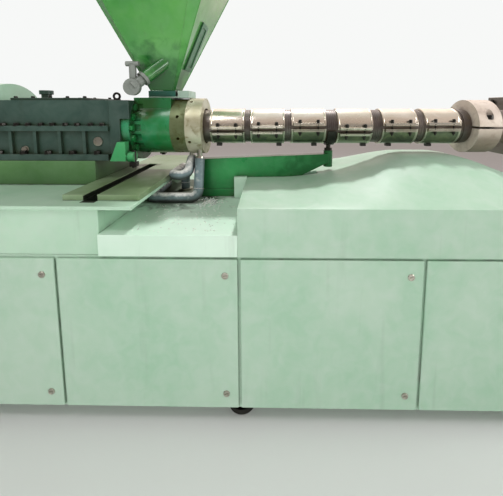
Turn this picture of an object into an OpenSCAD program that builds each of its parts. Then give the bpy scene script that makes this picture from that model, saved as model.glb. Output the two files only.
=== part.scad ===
// Plastic extruder on its bed: drive, feed housing with hopper, heated barrel, clamp and die.
// X runs along the barrel towards the die, Z is up from the floor, and Y = 0 is the middle.
// Lengths along the barrel are counted from the shoulder, the face where the barrel comes
// out of its flange ring.

/* [Bed] */
// Height of the barrel axis above the floor
axis_h = 1100; // [1050:10:1200]
// Width of the bed across the machine
bed_w = 960; // [920:10:1000]
// Length of the bed from the drive end to the shoulder
bed_back = 1130; // [1110:10:1180]
// Length of the bed from the shoulder to the die end
bed_front = 1546; // [1500:10:1600]
// Height of the levelling feet under the bed
foot_h = 60; // [40:5:90]
// Diameter of a foot pad
foot_d = 110; // [90:5:130]
// Depth of the cabinet's top under the axis
cabinet_drop = 435; // [430:5:460]
// Depth of the low deck under the axis
deck_drop = 355; // [345:5:380]
// Depth of the table top under the axis
table_drop = 252; // [245:1:270]
// Thickness of the table top
table_t = 14; // [8:1:20]
// Distance from the shoulder back to the wall under the table
wall_back = 294; // [290:1:320]
// How far the table stands out over the deck
table_reach = 128; // [100:2:130]
// Thickness of the slotted plate on the table
plate_t = 22; // [12:1:30]
// Width of the slotted plate along the machine
plate_w = 290; // [260:5:310]
// Width of the slot in the plate
slot_w = 50; // [30:1:56]
// Thickness of the side panels of the bed
panel_t = 12; // [6:1:20]
// Gap between neighbouring panels
panel_gap = 10; // [4:1:16]

/* [Hood] */
// Width of the flat strip along the top of the hood
ridge_w = 260; // [200:10:300]
// Depth of the hood's long edges under the axis
hood_edge = 258; // [256:1:300]
// Depth of the hood's highest part under the axis
hood_peak = 133; // [132:1:150]
// Width of the trough in the hood that the support arm stands in
trough_w = 60; // [56:1:80]

/* [Gearbox] */
// Length of the gearbox casting
gear_len = 555; // [500:5:570]
// Width of the gearbox casting
gear_w = 340; // [320:5:380]
// Height of the gearbox above the axis
gear_up = 125; // [115:1:140]
// Depth of the gearbox foot under the axis
gear_down = 143; // [141:1:160]
// Thickness of the end flange plate
end_plate_t = 47; // [30:1:60]
// Diameter of the upper belt pulley's guard
guard_d = 420; // [380:10:460]
// Thickness of the belt guard
guard_t = 120; // [90:5:140]

/* [Feed housing] */
// Outer diameter of the feed housing
housing_d = 268; // [262:1:274]
// Length of the round part of the housing
housing_len = 172; // [160:1:190]
// Diameter of the housing's rear flange
flange_d = 330; // [320:2:340]
// Thickness of the housing's rear flange
flange_t = 36; // [24:1:44]
// Diameter of the bolt circle on the rear flange
flange_pcd = 290; // [286:1:296]
// Width of the feed throat
throat_w = 90; // [80:1:96]
// Height of the throat face above the axis
throat_h = 138; // [137:1:150]

/* [Hopper] */
// Width of the hopper's lower flange
hop_flange_w = 130; // [126:1:150]
// Thickness of the hopper's lower flange
hop_flange_t = 28; // [16:1:34]
// Width of the hopper at its top
hopper_w = 583; // [500:1:640]
// Height of the hopper's pyramid
cone_h = 533; // [480:1:560]
// Height of the hopper's straight part
chest_h = 255; // [180:5:300]
// Thickness of the hopper sheet
sheet_t = 5; // [3:0.5:8]
// Width of the cut corners at the top of the hopper
corner_cut = 55; // [40:1:70]
// Diameter of the drain spout
spout_d = 56; // [50:1:60]

/* [Barrel] */
// Outer diameter of the barrel
barrel_d = 160; // [150:1:166]
// Diameter of the screw bore
bore_d = 90; // [86:1:94]
// Length of the barrel from the shoulder to its end face
barrel_len = 1320; // [1310:1:1330]
// Diameter of the barrel's end flange inside the clamp
end_flange_d = 184; // [180:1:188]
// Length of the spanner ring
ring1_len = 70; // [60:1:80]
// Length of the flange ring
ring2_len = 74; // [66:1:78]
// Outer diameter of the flange ring
ring_d = 275; // [270:1:280]

/* [Screw] */
// Running gap between the flight and the bore
screw_gap = 0.3; // [0.2:0.1:0.6]
// Distance that the flight goes forward in one turn
pitch = 90; // [80:1:110]
// Width of the flight's land
land_w = 10; // [8:1:14]
// Depth of the flight
flight_depth = 13; // [10:0.5:16]

/* [Heater bands] */
// Width of one heater band
band_w = 165; // [150:1:168]
// Thickness of one heater band
band_t = 6; // [4:0.5:8]
// Width of the open slit between the clamp bars
band_slit = 15; // [10:1:20]
// Height of a clamp bar
bar_h = 15; // [12:0.5:18]
// Length of a clamp bar
bar_len = 145; // [130:1:148]
// Distance between the two bolts of a band
band_bolt_gap = 85; // [70:1:100]

/* [Support] */
// Thickness of the support arm
arm_t = 50; // [36:1:60]
// Diameter of the post at the arm's end
post_d = 44; // [40:1:56]

/* [Cooling pipes] */
// Outer diameter of a cooling pipe
pipe_d = 46; // [40:1:46]
// Radius of the bends, along the middle of the pipe
bend_r = 36; // [32:1:36]

/* [Clamp and die] */
// Outer diameter of the split clamp
clamp_d = 258; // [254:1:270]
// Length of the split clamp
clamp_len = 105; // [98:1:110]
// Width of the slit between the clamp halves
clamp_slit = 10; // [6:1:14]
// Width of the square die body
die_w = 290; // [270:2:300]
// Length of the die body
die_len = 140; // [130:2:160]
// Diameter of the die ring
die_ring_d = 230; // [220:1:240]
// Length of the die ring
die_ring_len = 60; // [54:1:66]
// Diameter of the die lip
lip_d = 140; // [130:1:144]
// Length of the die lip
lip_len = 43; // [38:1:50]
// Diameter of the melt channel through the head
channel_d = 64; // [54:1:74]
// Diameter of the die's outlet
outlet_d = 50; // [30:1:56]
// Length of the neck between the barrel's end face and the die body
die_neck_len = 183; // [176:1:190]

/* [Hidden] */

$fn = 64;

// Gap left between round pieces that seat in each other
seat = 0.3;
// How far a cutting shape runs past the face that it cuts
over = 1;

casting_green = "#23864a";
bracket_green = "#4fb474";
mint = "#b9e1c8";
plate_grey = "#c3d2c4";
gear_grey = "#4f706e";
steel = "#8f8f86";
dark_steel = "#3b3d3c";
clamp_brown = "#8c7a68";

// Places along the axis, counted from the shoulder
head_end = barrel_len + die_neck_len + die_len + die_ring_len + lip_len;
x_mid = (head_end - bed_back) / 2;
housing_x = -(ring1_len + ring2_len);
flange_x = housing_x - housing_len;
plate_x = flange_x - flange_t;
gear_x = plate_x - end_plate_t;
gear_back_x = gear_x - gear_len;
throat_wall = 8;
throat_x = housing_x - throat_wall - throat_w / 2;
wall_x = -wall_back;
table_right = wall_x + table_reach;

// Heights from the floor
cabinet_top_z = axis_h - cabinet_drop;
deck_z = axis_h - deck_drop;
table_z = axis_h - table_drop;
gear_foot_z = axis_h - gear_down;

// Puts the children on the barrel axis, at a length from the shoulder
module on_axis(s = 0) {
    translate([s - x_mid, 0, axis_h])
        children();
}

// Puts the children at a length from the shoulder, a place across and a height
module at(s = 0, y = 0, z = 0) {
    translate([s - x_mid, y, z])
        children();
}

// A round bar along +X
module rod_x(d, len) {
    rotate([0, 90, 0])
        cylinder(d = d, h = len);
}

// A tube along +X
module tube_x(d, hole, len) {
    difference() {
        rod_x(d, len);
        translate([-over, 0, 0])
            rod_x(hole, len + 2 * over);
    }
}

// A block by its low and high corners
module block(low, high) {
    translate(low)
        cube(high - low);
}

// A hexagon head standing along +Z, by its width across the flats
module hex_head(flats, h) {
    cylinder(d = flats / cos(30), h = h, $fn = 6);
}

// The children and their mirror image across the machine's middle
module both_sides() {
    children();
    mirror([0, 1, 0])
        children();
}

// The bed: cabinet, feet, panels, deck, table and hood
cabinet_w = bed_w - 2 * panel_t;
cabinet_left = -bed_back + panel_t;
cabinet_right = bed_front - panel_t;

module bed_cabinet() {
    color(mint)
        at()
            block([cabinet_left, -cabinet_w / 2, foot_h],
                  [cabinet_right, cabinet_w / 2, cabinet_top_z]);
}

foot_inset = 120;
foot_rows = [-bed_back + foot_inset, (bed_front - bed_back) / 2, bed_front - foot_inset];
pad_h = foot_h * 0.35;
nut_z = foot_h * 0.6;

module levelling_feet() {
    color(dark_steel)
        for (s = foot_rows)
            for (side = [-1, 1])
                at(s, side * (bed_w / 2 - 90), 0) {
                    cylinder(d = foot_d, h = pad_h);
                    cylinder(d = 30, h = foot_h);
                    translate([0, 0, nut_z])
                        hex_head(55, foot_h - nut_z);
                }
}

panel_count = 4;
panel_low = foot_h + panel_gap;
panel_high = cabinet_top_z - panel_gap;

// One long side's doors, with a gap all round each of them
module door_row() {
    span = cabinet_right - cabinet_left;
    door_w = (span - panel_gap * (panel_count + 1)) / panel_count;
    for (i = [0 : panel_count - 1])
        at(cabinet_left + panel_gap + i * (door_w + panel_gap), cabinet_w / 2, 0)
            block([0, 0, panel_low], [door_w, panel_t, panel_high]);
}

module bed_panels() {
    color(mint) {
        both_sides()
            door_row();
        for (s = [-bed_back, cabinet_right])
            at(s, 0, 0)
                block([0, -cabinet_w / 2 + panel_gap, panel_low],
                      [panel_t, cabinet_w / 2 - panel_gap, panel_high]);
    }
}

// The hood's ridge line seen from the side, as length and depth under the axis
hood_line = [
    [204, hood_edge - 2], [450, hood_edge - 6], [690, 212], [932, hood_peak],
    [1225, hood_peak], [1333, 179], [bed_front, hood_edge - 2]
];
hood_x = hood_line[0][0];

module low_deck() {
    color(mint)
        at()
            block([wall_x, -bed_w / 2, cabinet_top_z], [hood_x, bed_w / 2, deck_z]);
}

slot_inset = 81;
slot_back = 178;
plate_front = bed_w / 2 - 65;
plate_left = table_right - plate_w;
slot_left = plate_left + slot_inset;
slot_deep = 60;

// The plate's slot goes on into the table under it
module table_top() {
    color(mint)
        at()
            difference() {
                union() {
                    block([cabinet_left, -bed_w / 2, table_z - table_t],
                          [table_right, bed_w / 2, table_z]);
                    block([cabinet_left, -cabinet_w / 2, cabinet_top_z],
                          [wall_x, cabinet_w / 2, table_z - table_t]);
                }
                block([slot_left, -plate_front, table_z - slot_deep],
                      [slot_left + slot_w, slot_back, table_z + over]);
            }
}

module slotted_plate() {
    color(plate_grey)
        at()
            difference() {
                block([plate_left, -plate_front, table_z],
                      [table_right, bed_w / 2, table_z + plate_t]);
                block([slot_left, -plate_front - over, table_z - over],
                      [slot_left + slot_w, slot_back, table_z + plate_t + over]);
            }
}

hood_end_x = 143;
hood_end_w = 120;
trough_end = 560;
trough_drop = 345;

// Two triangles for each stretch of a long side, which is not quite flat
function hood_side(i, edge, ridge) = [
    [4 * i + edge, 4 * i + 4 + edge, 4 * i + 4 + ridge],
    [4 * i + edge, 4 * i + 4 + ridge, 4 * i + ridge]
];

// A flat strip that rises and falls, sides that lead down to straight edges, and a
// block at its end that the support arm passes through
module barrel_hood() {
    n = len(hood_line);
    ys = [-bed_w / 2, -ridge_w / 2, ridge_w / 2, bed_w / 2];
    tops = [
        for (p = hood_line)
            for (j = [0 : 3])
                [p[0], ys[j], axis_h - (j == 0 || j == 3 ? hood_edge : p[1])]
    ];
    lows = [for (p = hood_line) for (j = [0, 3]) [p[0], ys[j], cabinet_top_z]];
    low = 4 * n;
    strip = [for (i = [0 : n - 2]) [4 * i + 1, 4 * i + 5, 4 * i + 6, 4 * i + 2]];
    front = [for (i = [0 : n - 2]) each hood_side(i, 0, 1)];
    back = [
        for (i = [0 : n - 2])
            for (t = hood_side(i, 3, 2))
                [t[2], t[1], t[0]]
    ];
    front_wall = [for (i = [0 : n - 2]) [4 * i, low + 2 * i, low + 2 * i + 2, 4 * i + 4]];
    back_wall = [
        for (i = [0 : n - 2])
            [4 * i + 7, low + 2 * i + 3, low + 2 * i + 1, 4 * i + 3]
    ];
    bottom = [
        for (i = [0 : n - 2])
            [low + 2 * i, low + 2 * i + 1, low + 2 * i + 3, low + 2 * i + 2]
    ];
    e = n - 1;
    ends = [
        [0, 1, 2, 3, low + 1, low],
        [4 * e + 3, 4 * e + 2, 4 * e + 1, 4 * e, low + 2 * e, low + 2 * e + 1]
    ];
    shell = concat(strip, front, back, front_wall, back_wall, bottom, ends);
    color(mint)
        difference() {
            union() {
                at()
                    polyhedron(points = concat(tops, lows),
                               faces = [for (f = shell) [for (k = [len(f) - 1 : -1 : 0]) f[k]]]);
                at()
                    block([hood_end_x, -hood_end_w / 2, deck_z],
                          [hood_x + over, hood_end_w / 2, axis_h - hood_edge + 8]);
            }
            at()
                block([hood_end_x - over, -trough_w / 2, axis_h - trough_drop],
                      [trough_end, trough_w / 2, axis_h]);
        }
}

// The drive: pedestal, gearbox and belt guard
pedestal_w = gear_w + 60;
pedestal_left = gear_back_x + 10;
pedestal_right = plate_left - 1;

module drive_pedestal() {
    color("#5f8a45")
        at()
            block([pedestal_left, -pedestal_w / 2, table_z],
                  [pedestal_right, pedestal_w / 2, gear_foot_z]);
}

foot_flange_t = 28;
split_flange_t = 24;
rib_t = 14;
rib_count = 4;

module gearbox_body() {
    color(gear_grey)
        on_axis() {
            block([gear_back_x, -gear_w / 2, -gear_down], [gear_x, gear_w / 2, gear_up]);
            both_sides() {
                block([gear_back_x, gear_w / 2 - over, -gear_down],
                      [gear_x, gear_w / 2 + 24, -gear_down + foot_flange_t]);
                block([gear_back_x, gear_w / 2 - over, -split_flange_t / 2],
                      [gear_x, gear_w / 2 + 18, split_flange_t / 2]);
                for (i = [1 : rib_count])
                    translate([gear_back_x + i * gear_len / (rib_count + 1) - rib_t / 2, 0, 0])
                        block([0, gear_w / 2 - over, -gear_down], [rib_t, gear_w / 2 + 14, 0]);
            }
            for (side = [-1, 1])
                translate([gear_back_x - 16, side * 85, 0])
                    rod_x(120, 17);
        }
}

cover_t = 12;
cover_side = 50;
cover_back = 70;
cover_front = 130;
breather_x = 150;
breather_h = 20;

module gearbox_cover() {
    color(gear_grey)
        on_axis() {
            block([gear_back_x + cover_back, -gear_w / 2 + cover_side, gear_up],
                  [gear_x - cover_front, gear_w / 2 - cover_side, gear_up + cover_t]);
            translate([gear_back_x + breather_x, 0, gear_up + cover_t]) {
                cylinder(d = 44, h = breather_h);
                translate([0, 0, breather_h])
                    cylinder(d = 60, h = breather_h);
            }
        }
}

brow_low = 41;
brow_reach = 8;
end_plate_w = gear_w + 10;

module gearbox_end_plate() {
    color(gear_grey)
        on_axis()
            difference() {
                union() {
                    block([gear_x, -end_plate_w / 2, -gear_down],
                          [plate_x, end_plate_w / 2, gear_up]);
                    block([plate_x, -end_plate_w / 2, brow_low],
                          [flange_x + brow_reach, end_plate_w / 2, gear_up]);
                }
                translate([plate_x, 0, 0])
                    rod_x(flange_d + 2 * seat, flange_t + brow_reach + over);
                translate([gear_x - over, 0, 0])
                    rod_x(bore_d + 2 * seat, end_plate_t + 2 * over);
            }
}

eye_back = 50;
eye_bar = 11;
eye_r = 15;

module lifting_eye() {
    color(dark_steel)
        on_axis(gear_x - eye_back)
            translate([0, 0, gear_up]) {
                cylinder(d = 36, h = 8);
                cylinder(d = 18, h = 14);
                translate([0, 0, 8 + eye_r])
                    rotate([90, 0, 0])
                        rotate_extrude()
                            translate([eye_r, 0])
                                circle(d = eye_bar);
            }
}

guard_drop = 560;
guard_low_d = 300;
guard_gap = 20;
guard_x = gear_back_x - guard_gap - guard_t;

// Two circles and the straight sides that touch both
module belt_outline(d_top, d_low, drop) {
    lean = asin((d_top - d_low) / 2 / drop);
    circle(d = d_top);
    translate([0, -drop])
        circle(d = d_low);
    polygon([
        for (end = [[d_top / 2, 0, 1], [d_low / 2, drop, 1], [d_low / 2, drop, -1],
                    [d_top / 2, 0, -1]])
            [end[2] * end[0] * cos(lean), -end[1] - end[0] * sin(lean)]
    ]);
}

module belt_guard() {
    color(mint)
        on_axis() {
            translate([guard_x, 0, 0])
                rotate([90, 0, 90])
                    linear_extrude(guard_t)
                        intersection() {
                            belt_outline(guard_d, guard_low_d, guard_drop);
                            translate([-guard_d, -table_drop])
                                square([2 * guard_d, table_drop + guard_d]);
                        }
            for (side = [-1, 1])
                translate([0, side * 85, 0])
                    block([guard_x + guard_t - over, -30, -95],
                          [gear_back_x, 30, -65]);
        }
}

// Feed housing with its flange, bolts and foot
throat_block_w = throat_w + 110;
bolt_step = 20;
bolt_flats = 30;
washer_d = bolt_flats + 6;
washer_t = 3;
bolt_head_h = 14;
spot_face_len = bolt_head_h + 26;

// Puts the children at each bolt of the housing's flange, with +Z along the barrel
module at_flange_bolts() {
    both_sides()
        for (a = [-2 * bolt_step : bolt_step : 2 * bolt_step])
            translate([flange_x, 0, 0])
                rotate([-a, 0, 0])
                    translate([0, -flange_pcd / 2, 0])
                        rotate([0, 90, 0])
                            children();
}

module feed_housing() {
    color(casting_green)
        on_axis()
            difference() {
                union() {
                    translate([flange_x - over, 0, 0])
                        rod_x(housing_d, housing_len + over);
                    block([flange_x - over, -throat_block_w / 2, 0],
                          [housing_x, throat_block_w / 2, throat_h]);
                    intersection() {
                        translate([plate_x, 0, 0])
                            rod_x(flange_d, flange_t);
                        block([plate_x, -flange_d, -flange_d], [flange_x, flange_d, gear_up]);
                    }
                }
                translate([plate_x - over, 0, 0])
                    rod_x(bore_d, housing_x - plate_x + 2 * over);
                block([throat_x - throat_w / 2, -throat_w / 2, 0],
                      [throat_x + throat_w / 2, throat_w / 2, throat_h + over]);
                at_flange_bolts()
                    cylinder(d = washer_d + 4, h = spot_face_len);
            }
}

module housing_bolts() {
    color(casting_green)
        on_axis()
            at_flange_bolts() {
                cylinder(d = washer_d, h = washer_t);
                hex_head(bolt_flats, bolt_head_h);
            }
}

foot_t = 35;
foot_bolt_x = 25;
boss_drop = 126;
boss_d = 48;
boss_len = 30;
foot_y = end_plate_w / 2;
foot_bolt_d = 20;
foot_bolt_end = 176;

// A bracket at each side of the end plate: a plate with a sloping edge, and a cross boss
module housing_foot() {
    color(bracket_green)
        on_axis(flange_x)
            both_sides()
                difference() {
                    union() {
                        translate([0, -foot_y, 0])
                            rotate([90, 0, 0])
                                linear_extrude(foot_t)
                                    polygon([[-68, -gear_down], [2, -gear_down], [2, -58],
                                             [-33, -58]]);
                        translate([2 - over, -foot_y - foot_t / 2 + 12, -boss_drop])
                            rod_x(boss_d, boss_len + over);
                    }
                    translate([foot_bolt_x, -foot_y - foot_t / 2 + 12, -boss_drop - boss_d])
                        cylinder(d = foot_bolt_d + 2 * seat, h = 2 * boss_d);
                }
}

module foot_bolts() {
    color(dark_steel)
        on_axis(flange_x + foot_bolt_x)
            both_sides()
                translate([0, -foot_y - foot_t / 2 + 12, -foot_bolt_end]) {
                    cylinder(d = foot_bolt_d, h = foot_bolt_end - boss_drop + boss_d / 2 + 4);
                    translate([-15, -15, 6])
                        cube([30, 30, foot_bolt_end - boss_drop - boss_d / 2 - 6]);
                }
}

// Rings, barrel and screw
spanner_hole_d = 15;
spanner_hole_depth = 22;
recess_gap = 8;
recess_d = barrel_d + 2 * recess_gap;
recess_len = 40;

module spanner_ring() {
    ring1_d = ring_d - 7;
    color("#75745a")
        on_axis(housing_x)
            difference() {
                tube_x(ring1_d, barrel_d + 2 * seat, ring1_len);
                for (a = [0 : 45 : 315])
                    rotate([a + 23, 0, 0])
                        translate([ring1_len / 2, 0, ring1_d / 2 - spanner_hole_depth])
                            cylinder(d = spanner_hole_d, h = spanner_hole_depth + over);
            }
}

module flange_ring() {
    color("#a5a26c")
        on_axis(-ring2_len)
            difference() {
                tube_x(ring_d, barrel_d + 2 * seat, ring2_len);
                translate([ring2_len - recess_len, 0, 0])
                    rod_x(recess_d, recess_len + over);
                for (a = [0 : 90 : 270])
                    rotate([a + 30, 0, 0])
                        translate([ring2_len / 4, 0, ring_d / 2 - spanner_hole_depth])
                            cylinder(d = spanner_hole_d, h = spanner_hole_depth + over);
            }
}

// Where the bands start, as shares of the barrel's length, and how far their slits are
// turned down from the front
band_shares = [0.0242, 0.1705, 0.319, 0.4856, 0.6455, 0.7977];
band_starts = [for (share = band_shares) share * barrel_len];
band_slit_angles = [11.5, 8, 1, 14, 1, -1];
end_flange_t = 24;
clamp_offset = 3.5;
clamp_x = barrel_len + clamp_offset - clamp_len / 2;
collar_d = barrel_d + 8;
collar_len = 22;
collar_x = (band_starts[5] + band_w + clamp_x - collar_len) / 2;

module barrel() {
    color(steel)
        on_axis()
            difference() {
                union() {
                    translate([housing_x, 0, 0])
                        rod_x(barrel_d, barrel_len - housing_x);
                    translate([collar_x, 0, 0])
                        rod_x(collar_d, collar_len);
                    translate([barrel_len - end_flange_t, 0, 0])
                        rod_x(end_flange_d, end_flange_t);
                }
                translate([housing_x - over, 0, 0])
                    rod_x(bore_d, barrel_len - housing_x + 2 * over);
            }
}

root_d = bore_d - 2 * flight_depth;
screw_back = gear_x + 5;
screw_tip = barrel_len - 70;
flight_steps = 20;
flight_flare = 3;
flight_start = screw_back + 40;

// The flight is one ribbon swept round the root, wider at its foot than at its land
module flight() {
    turns = floor((screw_tip - flight_start - 20) / pitch);
    count = turns * flight_steps;
    r_in = root_d / 2 + 2 * seat;
    r_out = bore_d / 2 - screw_gap;
    foot = land_w / 2 + flight_flare;
    function ring(i) =
        let (a = 360 * i / flight_steps, s = pitch * i / flight_steps)
        [
            for (p = [[-foot, r_in], [-land_w / 2, r_out], [land_w / 2, r_out], [foot, r_in]])
                [s + p[0], p[1] * cos(a), p[1] * sin(a)]
        ];
    pts = [for (i = [0 : count]) for (p = ring(i)) p];
    sides = [
        for (i = [0 : count - 1])
            for (j = [0 : 3])
                each [
                    [4 * i + j, 4 * i + (j + 1) % 4, 4 * i + 4 + j],
                    [4 * i + (j + 1) % 4, 4 * i + 4 + (j + 1) % 4, 4 * i + 4 + j]
                ]
    ];
    last = 4 * count;
    ends = [[3, 2, 1, 0], [last, last + 1, last + 2, last + 3]];
    translate([flight_start, 0, 0])
        polyhedron(points = pts, faces = concat(sides, ends));
}

module screw() {
    color("#b8b8b0")
        on_axis() {
            translate([screw_back, 0, 0])
                rod_x(root_d, screw_tip - screw_back);
            translate([screw_tip, 0, 0])
                rotate([0, 90, 0])
                    cylinder(d1 = root_d, d2 = root_d / 4, h = 40);
            flight();
        }
}

// Heater bands, each turned so that its slit faces the front
band_d = barrel_d + 2 * band_t;
bar_reach = 8;
rim_w = 6;
rim_h = 1.5;

module heater_band(i) {
    color("#d8d2c4")
        on_axis(band_starts[i])
            rotate([band_slit_angles[i], 0, 0])
                difference() {
                    union() {
                        rod_x(band_d, band_w);
                        for (s = [0, band_w - rim_w])
                            translate([s, 0, 0])
                                rod_x(band_d + 2 * rim_h, rim_w);
                        for (z = [band_slit / 2, -band_slit / 2 - bar_h])
                            block([(band_w - bar_len) / 2, -band_d / 2 - bar_reach, z],
                                  [(band_w + bar_len) / 2, -barrel_d / 2, z + bar_h]);
                    }
                    translate([-over, 0, 0])
                        rod_x(barrel_d + 2 * seat, band_w + 2 * over);
                    block([-over, -barrel_d, -band_slit / 2],
                          [band_w + over, 0, band_slit / 2]);
                }
}

band_bolt_y = -band_d / 2 - 6;

module band_bolts() {
    color(dark_steel)
        for (i = [0 : 5])
            on_axis(band_starts[i] + band_w / 2)
                rotate([band_slit_angles[i], 0, 0])
                    for (side = [-1, 1])
                        translate([side * band_bolt_gap / 2, band_bolt_y, 0]) {
                            translate([0, 0, band_slit / 2 + bar_h])
                                cylinder(d = 15, h = 13);
                            translate([0, 0, -band_slit / 2])
                                cylinder(d = 7, h = band_slit);
                            translate([0, 0, -band_slit / 2 - bar_h - 11])
                                hex_head(14, 11);
                        }
}

box_w = 26;
box_y = 22;
box_h = 14;
box_offsets = [32, 140, 120, 146, 60, 58];

// A small terminal block under each band
module terminal_boxes() {
    color(dark_steel)
        for (i = [0 : 5])
            on_axis(band_starts[i] + box_offsets[i])
                difference() {
                    block([-box_w / 2, -box_y / 2, -band_d / 2 - box_h],
                          [box_w / 2, box_y / 2, 0]);
                    translate([-box_w, 0, 0])
                        rod_x(band_d + 2 * seat, 2 * box_w);
                }
}

// Support arm, its post and the fork under the barrel
arm_x = -44;
arm_top = 166;
arm_low = 318;
arm_end_top = 138;
arm_end_low = 180;
arm_knee_x = 450;
arm_knee_low = 262;
rail_end = hood_end_x - 2;
rail_side = 7;
post_low = 205;
post_top = 122;

// The post stands in the gap between the third and the fourth band
fork_share = 0.72;
post_gap = band_starts[3] - band_starts[2] - band_w;
post_x = band_starts[3] - post_gap / 2;
fork_w = fork_share * post_gap;

module support_arm() {
    color(casting_green)
        on_axis() {
            translate([0, arm_t / 2, 0])
                rotate([90, 0, 0])
                    linear_extrude(arm_t)
                        polygon([
                            [arm_x, -arm_top], [post_x, -arm_end_top],
                            [post_x, -arm_end_low], [arm_knee_x, -arm_knee_low],
                            [rail_end, -arm_low], [arm_x, -arm_low]
                        ]);
            translate([post_x, 0, -post_low])
                cylinder(d = post_d, h = post_low - post_top);
            block([arm_x, -arm_t / 2 - rail_side, -deck_drop],
                  [rail_end, arm_t / 2 + rail_side, -arm_low]);
        }
}

fork_t = 14;
fork_d = barrel_d + 2 * seat + 2 * fork_t;

module barrel_saddle() {
    color(dark_steel)
        on_axis(post_x) {
            intersection() {
                translate([-fork_w / 2, 0, 0])
                    tube_x(fork_d, barrel_d + 2 * seat, fork_w);
                block([-fork_w, -fork_d, -fork_d], [fork_w, fork_d, -barrel_d / 8]);
            }
            translate([0, 0, -post_top])
                cylinder(d = 22, h = post_top - fork_d / 2 + 4);
            translate([0, 0, -post_top])
                hex_head(34, 12);
        }
}

// Hopper, from the slide gate on the throat up to the rim
gate_t = 6;
gate_reach = 64;
gate_gap = 10;
hop_z = throat_h + gate_t;
cone_z = hop_z + hop_flange_t;
chest_z = cone_z + cone_h;
hopper_top = chest_z + chest_h;

module slide_gate() {
    color("#b9c6bd")
        on_axis(throat_x)
            difference() {
                union() {
                    block([-hop_flange_w / 2, -hop_flange_w / 2, throat_h],
                          [hop_flange_w / 2 + gate_reach, hop_flange_w / 2, hop_z]);
                    block([hop_flange_w / 2 + gate_gap, -hop_flange_w / 2, hop_z - over],
                          [hop_flange_w / 2 + gate_reach, hop_flange_w / 2,
                           hop_z + hop_flange_t]);
                }
                block([-throat_w / 2, -throat_w / 2, throat_h - over],
                      [throat_w / 2, throat_w / 2, hop_z + over]);
            }
}

module hopper_flange() {
    color("#1d6a62")
        on_axis(throat_x)
            difference() {
                block([-hop_flange_w / 2, -hop_flange_w / 2, hop_z],
                      [hop_flange_w / 2, hop_flange_w / 2, cone_z]);
                block([-throat_w / 2, -throat_w / 2, hop_z - over],
                      [throat_w / 2, throat_w / 2, cone_z + over]);
            }
}

// The corners of a square of width w whose corners are cut off
function cut_corners(w, cut) =
    let (h = w / 2)
    [
        [-h + cut, -h], [h - cut, -h], [h, -h + cut], [h, h - cut],
        [h - cut, h], [-h + cut, h], [-h, h - cut], [-h, -h + cut]
    ];

// A funnel between two such squares
module frustum(w1, cut1, z1, w2, cut2, z2) {
    pts = concat(
        [for (p = cut_corners(w1, cut1)) [p[0], p[1], z1]],
        [for (p = cut_corners(w2, cut2)) [p[0], p[1], z2]]
    );
    sides = [for (i = [0 : 7]) [i, 8 + i, 8 + (i + 1) % 8, (i + 1) % 8]];
    ends = [[for (i = [0 : 7]) i], [for (i = [0 : 7]) 15 - i]];
    polyhedron(points = pts, faces = concat(sides, ends));
}

neck_w = hop_flange_w - 14;
neck_cut = 8;
corner_inset = 2;

module hopper_body() {
    color(casting_green)
        on_axis(throat_x)
            difference() {
                union() {
                    frustum(neck_w, neck_cut, cone_z, hopper_w, corner_cut, chest_z);
                    translate([0, 0, chest_z])
                        linear_extrude(chest_h)
                            polygon(cut_corners(hopper_w, corner_cut));
                }
                frustum(neck_w - 2 * sheet_t, neck_cut - corner_inset, cone_z - 0.01,
                        hopper_w - 2 * sheet_t, corner_cut - corner_inset, chest_z + 0.01);
                translate([0, 0, chest_z])
                    linear_extrude(chest_h + over)
                        polygon(cut_corners(hopper_w - 2 * sheet_t, corner_cut - corner_inset));
            }
}

rim_reach = 20;
rim_deep = 30;

module hopper_rim() {
    color(casting_green)
        on_axis(throat_x)
            translate([0, 0, hopper_top - rim_deep])
                linear_extrude(rim_deep)
                    difference() {
                        polygon(cut_corners(hopper_w + 2 * rim_reach, corner_cut + rim_reach / 2));
                        polygon(cut_corners(hopper_w, corner_cut));
                    }
}

cone_lean = atan((hopper_w - neck_w) / 2 / cone_h);
window_low = 110;
window_high = 350;
window_w = 100;
window_t = 9;
window_rim = 20;

module sight_window() {
    color("#2f4a3a")
        on_axis(throat_x + neck_w / 2)
            translate([0, 0, cone_z])
                rotate([0, cone_lean, 0])
                    difference() {
                        block([0, -window_w / 2, window_low],
                              [window_t, window_w / 2, window_high]);
                        block([window_t / 2, -window_w / 2 + window_rim,
                               window_low + window_rim],
                              [window_t + over, window_w / 2 - window_rim,
                               window_high - window_rim]);
                    }
}

// The spout leaves the hopper's front face and leads down to its valve
spout_x = 17;
spout_z = 283;
spout_y = -(neck_w / 2 + (spout_z - cone_z) * tan(cone_lean));
spout_turn = 42;
spout_dip = 128;
spout_len = 96;

// Puts the children on the spout's line, with +Z pointing out of the hopper
module on_spout(along = 0) {
    on_axis(throat_x + spout_x)
        translate([0, spout_y, spout_z])
            rotate([0, 0, 180 + spout_turn])
                rotate([0, spout_dip, 0])
                    translate([0, 0, along])
                        children();
}

module drain_spout() {
    color(casting_green)
        difference() {
            on_spout(-40)
                cylinder(d = spout_d, h = spout_len + 40);
            on_axis(throat_x)
                frustum(neck_w, neck_cut, cone_z, hopper_w, corner_cut, chest_z);
        }
}

valve_cover_d = 72;
valve_flange_d = 64;
valve_neck_d = 46;
valve_neck_len = 70;
valve_stem_d = 30;
valve_bar_d = 22;
valve_bar_len = 56;

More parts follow.
